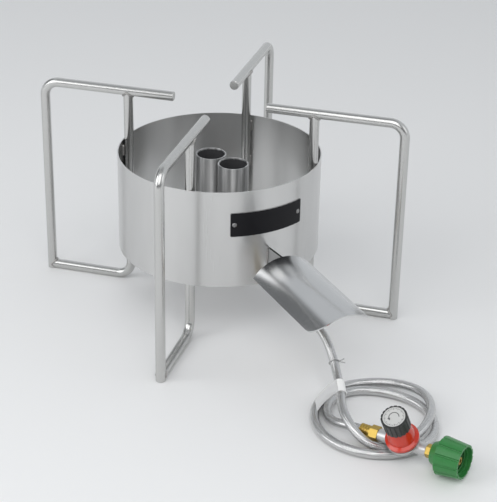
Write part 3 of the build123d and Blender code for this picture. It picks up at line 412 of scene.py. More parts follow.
@dataclass(frozen=True)
class Finishes:
    """Every finish of the cooker and its floor, in one place."""

    rod: Finish = Finish(
        "rod_steel", (0.58, 0.58, 0.57), 0.24, grain=Grain.DRAWN, scale=1100.0, depth=20.0, gloss=0.06
    )
    # The ring's tone paints faint upright reflection bands into its colour.
    ring: Finish = Finish(
        "ring_steel", (0.64, 0.64, 0.635), 0.28, grain=Grain.ROLLED, depth=2.0, tone=0.10, gloss=0.02,
        anisotropy=0.7,
    )
    shield: Finish = Finish(
        "shield_sheet", (0.60, 0.605, 0.61), 0.19, grain=Grain.SHEET, depth=6.0, tone=0.05, gloss=0.05,
        axis=SHIELD_ACROSS,
    )
    bracket: Finish = Finish("bracket_steel", (0.48, 0.48, 0.48), 0.32, scale=700.0, depth=40.0, tone=0.12)
    # Near-black painted shadow and reflection lines along the bracket's top.
    painted_bracket_shade: Finish = Finish("bracket_painted_shade", (0.05, 0.05, 0.05), 0.50, scale=700.0, depth=60.0, tone=0.2, gloss=0.1)
    weld: Finish = Finish(
        "weld_metal", (0.42, 0.41, 0.40), 0.42, scale=700.0, depth=150.0, tone=0.2, gloss=0.12
    )
    plate: Finish = Finish(
        "plate_black", (0.006, 0.006, 0.008), 0.42, metallic=0.0, scale=1500.0, depth=10.0, tone=0.2,
        specular=0.2,
    )
    trim: Finish = Finish("plate_trim", (0.28, 0.28, 0.28), 0.34, depth=10.0)
    # The jet tubes' strong tone paints upright light and dark streaks that stand for reflections.
    tube: Finish = Finish(
        "jet_tube_steel", (0.53, 0.525, 0.52), 0.44, grain=Grain.DRAWN, depth=4.0, tone=0.95, gloss=0.06,
        anisotropy=0.95,
    )
    # Near-black painted shade for the inside of the jet tubes, not a real deposit.
    painted_tube_shade: Finish = Finish(
        "tube_painted_shade", (0.028, 0.028, 0.030), 0.65, metallic=0.0, scale=500.0, depth=60.0, tone=0.25, gloss=0.1,
        specular=0.2,
    )
    burner: Finish = Finish("burner_steel", (0.30, 0.30, 0.31), 0.45, scale=500.0, depth=60.0, tone=0.12)
    pipe: Finish = Finish(
        "pipe_steel", (0.48, 0.48, 0.48), 0.34, grain=Grain.DRAWN, depth=20.0, axis=PIPE_AXIS
    )
    brass: Finish = Finish(
        "brass", (0.48, 0.335, 0.085), 0.34, grain=Grain.TURNED, scale=1500.0, depth=30.0, axis=PORT_AXIS
    )
    pipe_brass: Finish = Finish(
        "pipe_brass", (0.52, 0.38, 0.15), 0.36, grain=Grain.TURNED, scale=1500.0, depth=30.0, axis=PIPE_AXIS
    )
    # The hose's tone paints shade into the braid's valleys and lightens its crowns.
    hose: Finish = Finish(
        "hose_braid", (0.50, 0.50, 0.50), 0.17, grain=Grain.BRAID, depth=160.0, tone=0.50, gloss=0.04,
        coat=1.0, coat_roughness=0.05,
    )
    wrap: Finish = Finish(
        "white_wrap", (0.95, 0.95, 0.94), 0.55, metallic=0.0, grain=Grain.PAPER, scale=320.0, depth=200.0,
        tone=0.05,
    )
    film: Finish = Finish(
        "clear_film", (0.80, 0.80, 0.80), 0.30, metallic=0.0, grain=Grain.PAPER, scale=240.0, depth=300.0,
        alpha=0.55,
    )
    tie: Finish = Finish("tie_wire", (0.55, 0.55, 0.55), 0.28, scale=2500.0, depth=30.0)
    zinc: Finish = Finish("zinc_cast", (0.60, 0.60, 0.60), 0.40, metallic=0.9, depth=60.0, tone=0.07)
    red: Finish = Finish(
        "red_paint", (0.60, 0.030, 0.010), 0.20, metallic=0.0, scale=350.0, depth=20.0, gloss=0.04, coat=0.5,
        coat_roughness=0.04,
    )
    black: Finish = Finish(
        "black_plastic", (0.034, 0.035, 0.034), 0.42, metallic=0.0, scale=2200.0, depth=40.0, tone=0.15
    )
    ink: Finish = Finish(
        "dial_ink", (0.10, 0.10, 0.10), 0.55, metallic=0.0, scale=2200.0, depth=0.0, tone=0.1
    )
    disc: Finish = Finish(
        "disc_white", (0.60, 0.60, 0.585), 0.38, metallic=0.0, grain=Grain.PAPER, depth=20.0, tone=0.03
    )
    green: Finish = Finish(
        "green_plastic", (0.034, 0.21, 0.052), 0.30, metallic=0.0, scale=1800.0, depth=40.0, tone=0.08
    )
    steel: Finish = Finish("inner_steel", (0.45, 0.45, 0.46), 0.35, depth=30.0)
    rubber: Finish = Finish("rubber", (0.02, 0.02, 0.02), 0.6, metallic=0.0, scale=1200.0)
    floor: Finish = Finish(
        "pale_floor", (0.88, 0.88, 0.88), 0.6, metallic=0.0, scale=4.0, depth=0.0, tone=0.01, gloss=0.02
    )


FINISH = Finishes()
PAINT = Paintbox()


@dataclass(frozen=True)
class LocalFrame:
    """A right-handed frame placed in the part, in metres.

    Args:
        origin: Its middle.
        x: Its first axis.
        z: Its third axis.
    """

    origin: Array
    x: Array
    z: Array

    @property
    def y(self) -> Array:
        """Give the second axis."""
        return np.cross(self.z, self.x)

    def place(self, points: Array) -> Array:
        """Move local points into the part.

        Args:
            points: Points in metres, the last axis of length 3.

        Returns:
            The same points in the part's frame.
        """
        return self.origin + points @ np.stack([self.x, self.y, self.z])


def regulator_frames() -> tuple[LocalFrame, LocalFrame]:
    """Work out the regulator's knob frame and port frame as the part places them."""
    azimuth, rise, roll = np.radians(REGULATOR_ANGLES)
    port = np.array([math.cos(rise) * math.cos(azimuth), math.cos(rise) * math.sin(azimuth), math.sin(rise)])
    side = np.array([-math.sin(azimuth), math.cos(azimuth), 0.0])
    lift = np.cross(port, side)
    knob = lift * math.cos(roll) - side * math.sin(roll)
    middle = np.array(REGULATOR_MIDDLE) * MM
    return LocalFrame(middle, port, knob), LocalFrame(middle, knob, port)


KNOB, PORT = regulator_frames()


def unit(vectors: Array) -> Array:
    """Scale vectors to length 1."""
    return vectors / np.linalg.norm(vectors, axis=-1, keepdims=True)


def around(angle: Array | float) -> Array:
    """Give the level unit vectors at angles in radians."""
    return np.stack([np.cos(angle), np.sin(angle), np.zeros_like(angle)], axis=-1)


def level(azimuth: float) -> Array:
    """Give the level unit vector at an azimuth in degrees."""
    return around(math.radians(azimuth))


def ring_of(sides: int) -> Array:
    """Give the angles of a round section."""
    return np.arange(sides) * (2.0 * math.pi / sides)


def pose(right: Array, up: Array, place: Sequence[float]) -> Matrix:
    """Give the place of a camera or a lamp from its right, its up and where it stands."""
    made = np.eye(4)
    made[:3, :3] = np.stack([right, up, np.cross(right, up)], axis=-1)
    made[:3, 3] = place
    return Matrix(made.tolist())


def add_object(name: str, data: bpy.types.ID) -> bpy.types.Object:
    """Put a mesh, curve, camera or lamp into the scene as an object at the origin."""
    made = bpy.data.objects.new(name, data)
    bpy.context.scene.collection.objects.link(made)
    return made


def surface(
    name: str, grid: Array, finish: Finish, wrap: bool = True, loop: bool = False
) -> bpy.types.Object:
    """Make a smooth surface from a grid of points.

    Args:
        name: Name of the object.
        grid: Points as (rows, columns, 3), in metres.
        finish: Its finish.
        wrap: Whether the last column joins the first.
        loop: Whether the last row joins the first; otherwise a wrapped grid has capped ends.

    Returns:
        The new object, with UVs that follow the grid.
    """
    rows, columns = grid.shape[:2]
    row_count = rows if loop else rows - 1
    column_count = columns if wrap else columns - 1
    row, column = np.meshgrid(np.arange(row_count), np.arange(column_count), indexing="ij")
    next_row = (row + 1) % rows
    next_column = (column + 1) % columns
    corners = [row * columns + column, row * columns + next_column]
    corners += [next_row * columns + next_column, next_row * columns + column]
    faces = np.stack(corners, axis=-1).reshape(-1, 4).tolist()
    capped = wrap and not loop
    if capped:
        faces.append(list(range(columns))[::-1])
        faces.append(list(range((rows - 1) * columns, rows * columns)))
    mesh = bpy.data.meshes.new(name)
    mesh.from_pydata(grid.reshape(-1, 3).tolist(), [], faces)
    centres = grid.mean(axis=1)
    run = np.concatenate([[0.0], np.cumsum(np.linalg.norm(np.diff(centres, axis=0), axis=1))])
    run = np.append(run, run[-1] + np.linalg.norm(centres[0] - centres[-1]))
    u = np.stack([column, column + 1, column + 1, column], axis=-1) / columns
    v = run[np.stack([row, row, row + 1, row + 1], axis=-1)]
    uv = np.stack([u, v], axis=-1).reshape(-1, 2)
    uv = np.concatenate([uv, np.zeros((2 * columns if capped else 0, 2))])
    layer = mesh.uv_layers.new(name="UVMap")
    layer.data.foreach_set("uv", uv.ravel())
    mesh.shade_smooth()
    mesh.materials.append(PAINT.get(finish))
    return add_object(name, mesh)


def circle_of(sides: int) -> Array:
    """Give the points of a round section with a radius of 1."""
    return around(ring_of(sides))[:, :2]


def sweep_grid(line: Array, first: Array, second: Array, section: Array) -> Array:
    """Set a section at each point of a line.

    Args:
        line: The line's points, (count, 3).
        first: Direction of the section's first axis, one for all points or one for each.
        second: Direction of its second axis, likewise.
        section: Points of the section, (points, 2), or (count, points, 2) where it changes.

    Returns:
        The grid of the surface, one row for each point of the line.
    """
    across, out = (np.broadcast_to(axis, line.shape)[:, None] for axis in (first, second))
    return line[:, None] + across * section[..., :1] + out * section[..., 1:]


def tube_grid(points: Array, radius: float, sides: int) -> Array:
    """Sweep a round section along points whose line is never upright.

    Args:
        points: Centre line, (count, 3).
        radius: Radius of the tube.
        sides: Points around the section.

    Returns:
        The grid of the tube's surface.
    """
    heading = unit(np.gradient(points, axis=0))
    side = unit(np.cross(UP, heading))
    return sweep_grid(points, side, np.cross(heading, side), circle_of(sides) * radius)


def revolve_grid(place: LocalFrame, profile: Array, sides: int) -> Array:
    """Turn a profile of (distance from the axis, place on the axis) about a frame's Z axis.

    Args:
        place: The frame.
        profile: Points of the profile, (count, 2).
        sides: Points around the axis.

    Returns:
        The grid of the turned surface, one row for each profile point.
    """
    section = circle_of(sides) * profile[:, None, :1]
    return sweep_grid(place.origin + np.outer(profile[:, 1], place.z), place.x, place.y, section)


@dataclass
class Assembly:
    """A sub-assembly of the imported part.
    """

    frame: dict

    def dress(self, finish: Finish, *nodes: str) -> None:
        """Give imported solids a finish.

        Args:
            finish: The finish.
            nodes: Names of the solids.
        """
        material = PAINT.get(finish)
        for name in nodes:
            slots = self.frame["nodes"][name].data.materials
            slots.clear()
            slots.append(material)


@dataclass(frozen=True)
class SoftBox:
    """One rectangular studio light, in metres and watts."""

    name: str
    place: Triple
    target: Triple
    size: Pair
    power: float


@dataclass
class Stage:
    """Floor, light and camera.

    The sky changes between the two values of a reach, which are cosines of the angle to an axis.

    Args:
        camera_place: Where the camera stands, in metres.
        camera_right: The picture's right in the part's frame.
        camera_up: The picture's up in the part's frame.
        lens: Focal length, in millimetres as the sensor.
        camera_side: Share of the sky that is left behind the camera.
        flag_direction: Azimuth and height of a dark flag in the sky, in degrees.
        far_floor: Where the far floor's glow starts and is full, in metres.
    """

    camera_place: Triple = (0.60778, -2.02693, 1.14336)
    camera_right: Triple = (0.9613, 0.2750, 0.0181)
    camera_up: Triple = (-0.1398, 0.4300, 0.8919)
    lens: float = 110.10
    sensor: float = 36.0
    sky_colour: tuple[float, ...] = (0.94, 0.97, 1.0, 1.0)
    horizon: float = 0.75
    zenith: float = 0.40
    zenith_reach: Pair = (0.78, 0.97)
    camera_side: float = 0.28
    camera_side_reach: Pair = (0.2, 0.85)
    flag_direction: Pair = (169.0, 31.0)
    flag_reach: Pair = (0.90, 0.97)
    flag_share: float = 0.28
    floor_reach: float = 40.0
    far_floor: Pair = (1.6, 3.6)
    far_glow: float = 0.35
    boxes: tuple[SoftBox, ...] = (
        SoftBox("key", (-2.0, -1.9, 1.6), (0.0, 0.0, 0.12), (2.0, 2.0), 26.0),
        SoftBox("fill", (2.5, -0.6, 1.3), (0.1, -0.1, 0.12), (1.6, 1.4), 5.5),
        SoftBox("front", (0.45, -2.25, 2.4), (0.0, 0.0, 0.12), (2.4, 3.0), 40.0),
    )

    def build(self) -> None:
        """Make the floor, the lights and the camera."""
        self.floor()
        self.sky()
        for box in self.boxes:
            self.soft_box(box)
        self.camera()

    def camera(self) -> None:
        """Place the camera as the photograph has it."""
        data = bpy.data.cameras.new("camera")
        data.lens = self.lens
        data.sensor_width = self.sensor
        right = unit(np.array(self.camera_right))
        up = np.array(self.camera_up)
        up = unit(up - right * (up @ right))
        camera = add_object("camera", data)
        camera.matrix_world = pose(right, up, self.camera_place)
        bpy.context.scene.camera = camera

    def floor(self) -> None:
        """Lay a pale floor."""
        side = np.array([-self.floor_reach, self.floor_reach])
        y, x = np.meshgrid(side, side, indexing="ij")
        floor = surface("floor", np.stack([x, y, np.zeros_like(x)], axis=-1), FINISH.floor, wrap=False)
        self.brighten(floor.data.materials[0])

    def brighten(self, material: bpy.types.Material) -> None:
        """Keep the far floor pale where the lights don't reach, for the camera and for reflections."""
        nodes = Nodes(material.node_tree)
        shader = next(node for node in nodes.tree.nodes if node.type == "BSDF_PRINCIPLED")
        away = nodes.node("ShaderNodeVectorMath", operation="LENGTH")
        nodes.link(nodes.position(), away.inputs[0])
        rise = nodes.remap(away.outputs["Value"], (0.0, self.far_glow), self.far_floor, smooth=True)
        light = nodes.node("ShaderNodeLightPath")
        seen = nodes.math("MAXIMUM", light.outputs["Is Camera Ray"], light.outputs["Is Glossy Ray"])
        shader.inputs["Emission Color"].default_value = (1.0, 1.0, 1.0, 1.0)
        nodes.link(nodes.math("MULTIPLY", rise, seen), shader.inputs["Emission Strength"])

    def sky(self) -> None:
        """Spread a pale sky that is dimmer overhead, behind the camera and at the flag."""
        world = bpy.data.worlds.new("studio")
        world.use_nodes = True
        nodes = Nodes(world.node_tree)
        background = nodes.tree.nodes["Background"]
        background.inputs["Color"].default_value = self.sky_colour
        direction = nodes.node("ShaderNodeTexCoord").outputs["Generated"]
        toward = unit(np.array(self.camera_place) * np.array([1.0, 1.0, 0.0]))
        azimuth, height = self.flag_direction
        aside = level(azimuth) * math.cos(math.radians(height)) + UP * math.sin(math.radians(height))
        falls = (
            (toward, self.camera_side_reach, self.camera_side),
            (aside, self.flag_reach, self.flag_share),
        )
        overhead = nodes.along(direction, UP)
        strength = nodes.remap(overhead, (self.horizon, self.zenith), self.zenith_reach, smooth=True)
        for axis, reach, share in falls:
            left = nodes.remap(nodes.along(direction, axis), (1.0, share), reach, smooth=True)
            strength = nodes.math("MULTIPLY", strength, left)
        nodes.link(strength, background.inputs["Strength"])
        bpy.context.scene.world = world

    def soft_box(self, box: SoftBox) -> None:
        """Hang one rectangular light that faces its target."""
        data = bpy.data.lights.new(box.name, "AREA")
        data.shape = "RECTANGLE"
        data.size, data.size_y = box.size
        data.energy = box.power
        back = unit(np.array(box.place) - np.array(box.target))
        right = unit(np.cross(UP, back))
        lamp = add_object(box.name, data)
        lamp.matrix_world = pose(right, np.cross(back, right), box.place)


@dataclass
class Stand(Assembly):
    """The rods, the ring, the plate and the shield, in millimetres and degrees.

    Args:
        legs: Azimuth of each leg.
        foot_sweep: How far round the stretcher a foot's bead goes.
        bead_ripple: Share and waves of a bead's fine and slow ripple.
        bracket_ripple: Share and waves of the ripple of the bracket's beads.
        bracket_shade_ends: Distance from the ring's axis and height of the ends of the dark strip that paints
            shadow and reflection lines along the bracket's top.
    """

    legs: dict[str, float] = field(
        default_factory=lambda: {"right": 0.0, "rear": 90.0, "left": 180.0, "front": 270.0}
    )
    foot_sweep: float = 250.0
    bead_radius: float = 1.7
    bead_points: int = 96
    bead_sides: int = 12
    bead_lift: float = 0.35
    bead_least_drop: float = 1.2
    bead_least_end: float = 0.05
    bead_ripple: tuple[Pair, Pair] = ((0.10, 22.0), (0.05, 7.0))
    bracket_root: Pair = (119.0, 145.5)
    bracket_half: float = 2.2
    bracket_bead: float = 1.5
    bracket_bead_lift: float = 0.4
    bracket_ripple: Pair = (0.12, 2.1)
    bracket_shade_ends: tuple[Pair, Pair] = ((153.6, 146.09), (192.4, 147.38))
    bracket_shade_section: tuple[Pair, ...] = (
        (1.55, -0.3), (1.55, 0.02), (1.4, 0.08), (-1.4, 0.08), (-1.55, 0.02), (-1.55, -0.3)
    )
    plate_height: float = 189.0
    plate_size: Pair = (118.0, 37.0)
    plate_corner: float = 2.0
    plate_corner_points: int = 8
    plate_steps: int = 12
    plate_face: float = 153.35
    plate_proud: float = 0.05
    plate_section: tuple[Pair, ...] = ((-0.45, 0.0), (-0.35, 0.06), (0.1, 0.04), (0.1, -0.7), (-0.3, -0.7))

    def build(self) -> None:
        """Dress the stand and add its weld beads, its plate edge and the dark strip that paints shadow on the
        bracket.
        """
        rods = [f"{leg}_{kind}_rod" for leg in self.legs for kind in ("leg", "brace")]
        self.dress(FINISH.rod, *rods)
        self.dress(FINISH.ring, "wind_ring")
        self.dress(FINISH.weld, "ring_welds")
        self.dress(FINISH.shield, "heat_shield")
        self.dress(FINISH.bracket, "shield_bracket")
        self.dress(FINISH.plate, "name_plate")
        self.dress(FINISH.trim, "plate_rivets")
        for leg, azimuth in self.legs.items():
            out = level(azimuth)
            arm = out * UPRIGHT_RADIUS + UP * ARM_HEIGHT
            foot = out * LEG_RADIUS + UP * ROD_RADIUS
            self.saddle_bead(f"{leg}_arm_bead", azimuth, arm, UP * -1.0, out, FULL_TURN)
            self.saddle_bead(f"{leg}_foot_bead", azimuth, foot, out * -1.0, UP, self.foot_sweep)
        self.bracket_beads()
        self.bracket_shade_strip()
        self.plate_edge()

    def bead(self, name: str, line: Array, hint: Array, radius: Array, loop: bool) -> None:
        """Lay a rippled weld bead along a line.

        Args:
            name: Name of the bead.
            line: Centre line, (count, 3), in millimetres.
            hint: Directions away from the joint, one for each point.
            radius: Radius of the bead at each point.
            loop: Whether the line is closed.
        """
        if loop:
            ahead = np.roll(line, -1, axis=0) - np.roll(line, 1, axis=0)
        else:
            ahead = np.gradient(line, axis=0)
        heading = unit(ahead)
        normal = unit(hint - heading * np.sum(hint * heading, axis=1, keepdims=True))
        section = circle_of(self.bead_sides) * radius[:, None, None]
        grid = sweep_grid(line, normal, np.cross(heading, normal), section)
        piece = surface(name, grid * MM, FINISH.weld, loop=loop)
        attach(piece, "cooker")

    def saddle_bead(
        self, name: str, azimuth: float, centre: Array, stub: Array, through: Array, sweep: float
    ) -> None:
        """Lay a weld bead round a T of two equal rods, along the saddle where they meet.

        Args:
            name: Name of the bead.
            azimuth: Direction of the leg, which shifts the ripple.
            centre: Where the rods' axes meet.
            stub: Direction of the rod that ends at the joint.
            through: Direction of the rod that runs past it.
            sweep: How far round the stub the bead goes, in degrees.
        """
        loop = sweep >= FULL_TURN
        if loop:
            angle = ring_of(self.bead_points) - math.pi
        else:
            angle = np.linspace(-0.5, 0.5, self.bead_points) * math.radians(sweep)
        across = np.cross(stub, through)
        lie = ROD_RADIUS + self.bead_lift
        drop = np.maximum(np.abs(np.cos(angle)) * lie, self.bead_least_drop)
        line = centre + through * (np.cos(angle) * lie)[:, None]
        line = line + across * (np.sin(angle) * lie)[:, None] + stub * drop[:, None]
        (fine, fine_waves), (slow, slow_waves) = self.bead_ripple
        ripple = 1.0 + fine * np.sin(angle * fine_waves) + slow * np.sin(angle * slow_waves + azimuth)
        if not loop:
            ripple = ripple * np.sqrt(np.clip(np.cos(angle * 180.0 / sweep), self.bead_least_end, 1.0))
        outward = unit(line - centre - stub * (stub @ (line - centre).T)[:, None])
        self.bead(name, line, outward, self.bead_radius * ripple, loop)

    def bracket_beads(self) -> None:
        """Lay an upright bead on each side of the bracket where it meets the ring."""
        out = level(FRONT_AZIMUTH)
        side = np.cross(UP, out)
        height = np.linspace(*self.bracket_root, self.bead_points)
        share = np.linspace(-1.0, 1.0, self.bead_points)
        depth, waves = self.bracket_ripple
        ripple = self.bracket_bead * (1.0 + depth * np.sin(height * waves))
        ripple = ripple * np.sqrt(np.clip(1.0 - share**2, self.bead_least_end, 1.0))
        root = out * (RING_RADIUS + self.bracket_bead_lift) + UP * height[:, None]
        for name, sign in (("bracket_left_bead", -1.0), ("bracket_right_bead", 1.0)):
            line = root + side * (sign * self.bracket_half)
            hint = np.broadcast_to(out + side * sign, line.shape)
            self.bead(name, line, hint, ripple, False)

    def bracket_shade_strip(self) -> None:
        """Lay a dark strip along the top of the bracket, from the ring to the shield, which paints the shadow
        and reflection lines there.
        """
        out = level(FRONT_AZIMUTH)
        side = np.cross(UP, out)
        ends = [out * reach + UP * height for reach, height in self.bracket_shade_ends]
        line = np.linspace(*ends, self.bead_points)
        grid = sweep_grid(line, side, UP, np.array(self.bracket_shade_section))
        edge = surface("bracket_shade_strip", grid * MM, FINISH.painted_bracket_shade)
        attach(edge, "cooker")

    def plate_edge(self) -> None:
        """Lay the cut edge round the bare black plate."""
        width, height = self.plate_size
        half = np.array([width / 2.0, height / 2.0]) - self.plate_corner + self.plate_proud
        quarter = np.linspace(0.0, math.pi / 2.0, self.plate_corner_points)
        arc = around(quarter)[:, :2] * self.plate_corner
        turn = np.array([[0.0, 1.0], [-1.0, 0.0]])
        signs = np.array([[1.0, 1.0], [-1.0, 1.0], [-1.0, -1.0], [1.0, -1.0]])
        corners = [sign * half + arc @ np.linalg.matrix_power(turn, k) for k, sign in enumerate(signs)]
        outline = np.concatenate(corners)
        before = np.roll(outline, 1, axis=0)
        share = np.linspace(0.0, 1.0, self.plate_steps + 1)[1:]
        outline = before[:, None] + (outline - before)[:, None] * share[None, :, None]
        outline = outline.reshape(-1, 2)
        azimuth = math.radians(FRONT_AZIMUTH) + outline[:, 0] / RING_RADIUS
        out = around(azimuth)
        line = out * self.plate_face + UP * (self.plate_height + outline[:, 1:])
        heading = unit(np.roll(line, -1, axis=0) - np.roll(line, 1, axis=0))
        grid = sweep_grid(line, np.cross(heading, out), out, np.array(self.plate_section))
        edge = surface("plate_edge", grid * MM, FINISH.trim, loop=True)
        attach(edge, "cooker")


@dataclass
class Burner(Assembly):
    """The jet tubes and everything between them and the hose, in millimetres."""

    tube_places: tuple[tuple[str, float, float], ...] = (("rear", -17.17, 12.72), ("front", 25.17, -12.72))
    shade_liner_radii: Pair = (20.97, 20.8)
    shade_liner_ends: Pair = (139.0, 225.2)
    shade_liner_sides: int = 64

    def build(self) -> None:
        """Dress the burner and the gas line, and line the tubes with their painted shade."""
        self.tube_shade_liners()
        self.dress(FINISH.tube, "rear_jet_tube", "front_jet_tube")
        self.dress(
            FINISH.burner, "rear_tube_yoke", "front_tube_yoke", "burner_block", "burner_bar", "block_bolts",
            "gallery_plug",
        )
        self.dress(FINISH.pipe, "gas_pipe")
        self.dress(
            FINISH.pipe_brass, "rear_gas_jet", "front_gas_jet", "inlet_elbow", "flare_adapter", "flare_nut",
            "hose_tailpiece", "burner_ferrule",
        )

    def tube_shade_liners(self) -> None:
        """Line each jet tube with a thin dark layer, a folded strip turned about the tube's axis, which
        paints the shade inside the tube.
        """
        outer, inner = self.shade_liner_radii
        low, high = self.shade_liner_ends
        profile = np.array([(outer, low), (outer, high), (inner, high), (inner, low)])
        for name, x, y in self.tube_places:
            place = LocalFrame(np.array([x, y, 0.0]) * MM, np.array([1.0, 0.0, 0.0]), UP)
            grid = revolve_grid(place, profile * MM, self.shade_liner_sides)
            liner = surface(f"{name}_tube_painted_shade", grid, FINISH.painted_tube_shade, loop=True)
            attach(liner, "cooker")


@dataclass
class Hose(Assembly):
    """The braided hose from the burner to the regulator, on one line, in millimetres and degrees.

    The falling stretch and the loops are as in the part, the leads into and out of the loops are eased.

    Args:
        spring: The piece that stands for the spring in the regulator at the hose's end; not used.
        replaced: Nodes on the hose that other pieces stand for.
        start: Place on the gas pipe's axis where the hose starts.
        first_turn: Place there where it starts to bend.
        outlet_reach: Places of its last points on the regulator's port axis.
    """

    spring: bpy.types.Object
    replaced: tuple[str, ...] = ("hose_riser", "hose_coil", "hose_tag", "control_spring")
    sides: int = 24
    steps: int = 8
    start: float = 247.0
    first_turn: float = 280.0
    riser: tuple[Triple, ...] = (
        (224.0, -216.0, 70.0), (239.0, -236.0, 51.0), (251.0, -260.0, 39.0), (261.5, -288.0, 34.0),
    )
    lead_in: tuple[Triple, ...] = (
        (271.3, -326.1, 36.0), (287.3, -350.2, 29.4), (304.3, -362.7, 20.0), (323.5, -365.2, 11.3),
    )
    lead_out: tuple[Triple, ...] = (
        (256.8, -241.3, 6.9), (245.5, -259.9, 6.9), (242.2, -281.8, 6.9), (246.3, -301.8, 7.2),
        (256.6, -318.5, 9.2), (271.6, -331.2, 14.9),
    )
    outlet_reach: Triple = (-76.9, -64.4, -51.5)
    centre: Pair = (307.1, -293.2)
    radius: float = 80.7
    spread: float = 4.04
    back_spread: float = 0.87
    third_share: float = 1.72
    cross_angle: float = 384.5
    first_angle: float = 298.0
    quarter_turns: int = 6
    points_per_quarter: int = 6
    hump: float = 14.6
    hump_reach: float = 90.0
    band_shift: float = 10.5
    band_length: float = 24.0
    band_radius: float = 7.9
    flag_reach: float = 31.0
    flag_drop: float = 19.5
    flag_slant: float = 17.5
    flag_bow: float = 1.6
    flag_curl: float = 2.2
    flag_wave: float = 0.7
    flag_wave_start: float = 1.0
    flag_wall: float = 0.3
    flag_points: tuple[int, int] = (25, 41)

    def loops(self) -> Array:
        """Work out the loops' points from the formula.

        Returns:
            Points in millimetres, evenly spaced in angle.
        """
        count = self.quarter_turns * self.points_per_quarter + 1
        degrees = self.first_angle + np.arange(count) * (90.0 / self.points_per_quarter)
        turn = np.radians(degrees)
        half = np.radians(degrees - self.cross_angle) / 2.0
        spread = self.spread + self.back_spread * np.sin(turn)
        radius = self.radius + spread * (np.sin(half) + self.third_share * np.sin(3.0 * half))
        radius = radius / math.cos(math.pi / 4.0 / self.points_per_quarter)
        from_cross = np.clip((degrees - self.cross_angle) / self.hump_reach, -1.0, 1.0)
        height = HOSE_LEVEL + self.hump * np.cos(from_cross * math.pi / 2.0) ** 2
        return around(turn) * radius[:, None] + np.outer(height, UP) + np.array([*self.centre, 0.0])

    def route(self) -> Array:
        """Join the route's points from the burner to the regulator, in millimetres."""
        along_pipe = np.array([[self.start], [self.first_turn]])
        inlet = level(PIPE_AZIMUTH) * along_pipe + np.array([BURNER_X, 0.0, PIPE_HEIGHT])
        outlet = PORT.place(np.outer(self.outlet_reach, UP) * MM) / MM
        return np.concatenate([inlet, self.riser, self.lead_in, self.loops(), self.lead_out, outlet])

    def line(self) -> Array:
        """Read the smooth line of a spline whose control points are the route.

        Returns:
            Points along the spline, in metres.
        """
        route = self.route() * MM
        curve = bpy.data.curves.new("hose_route", "CURVE")
        curve.dimensions = "3D"
        spline = curve.splines.new("NURBS")
        spline.points.add(len(route) - 1)
        spline.points.foreach_set("co", np.column_stack([route, np.ones(len(route))]).ravel())
        spline.order_u = 3
        spline.use_endpoint_u = True
        spline.resolution_u = self.steps
        guide = add_object("hose_route", curve)
        bpy.context.view_layer.update()
        mesh = bpy.data.meshes.new_from_object(guide)
        points = np.empty(len(mesh.vertices) * 3)
        mesh.vertices.foreach_get("co", points)
        bpy.data.objects.remove(guide)
        bpy.data.curves.remove(curve)
        bpy.data.meshes.remove(mesh)
        return points.reshape(-1, 3)

    def build(self) -> None:
        """Lay the hose and dress what is on it."""
        points = self.line()
        hose = surface("hose", tube_grid(points, HOSE_RADIUS * MM, self.sides), FINISH.hose)
        self.dress(FINISH.wrap, "hose_band")
        flag = self.flag()
        self.dress(FINISH.tie, "hose_tie")
        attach(hose, "cooker")
        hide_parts("hose_riser", "hose_coil")
        on_hose = [self.frame["nodes"][name] for name in self.frame["record"]["physics"]["cord_nodes"]]
        on_hose = [node for node in on_hose if node.name not in self.replaced]

    def flag(self) -> bpy.types.Object:
        """Make the loose film end of the white band, a slanted strip that bows and curls.

        Returns:
            The flag, which stands for the plain one.
        """
        before, end = np.array(self.riser[-2]), np.array(self.riser[-1])
        heading = unit(end - before)
        left = unit(np.cross(heading, UP))
        down = np.cross(heading, left)
        fall = unit(left * self.flag_reach + down * self.flag_drop)
        face = np.cross(heading, fall)
        face = face * np.sign(face[2])
        corner = end - heading * (self.band_shift + self.band_length / 2.0) + face * self.band_radius
        along, across = np.meshgrid(*(np.linspace(0.0, 1.0, count) for count in self.flag_points))
        bow = self.flag_bow * np.sin(math.pi * across) - self.flag_curl * across**3
        bow = bow + self.flag_wave * across * np.sin(2.0 * math.pi * along + self.flag_wave_start)
        length = math.hypot(self.flag_reach, self.flag_drop)
        grid = corner + heading * (along * self.band_length + across * self.flag_slant)[..., None]
        grid = grid + fall * (across * length)[..., None] + face * bow[..., None]
        flag = surface("film_flag", grid * MM, FINISH.film, wrap=False)
        wall = flag.modifiers.new("wall", "SOLIDIFY")
        wall.thickness = self.flag_wall * MM
        wall.offset = 0.0
        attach(flag, "cooker")
        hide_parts("hose_tag")
        return flag


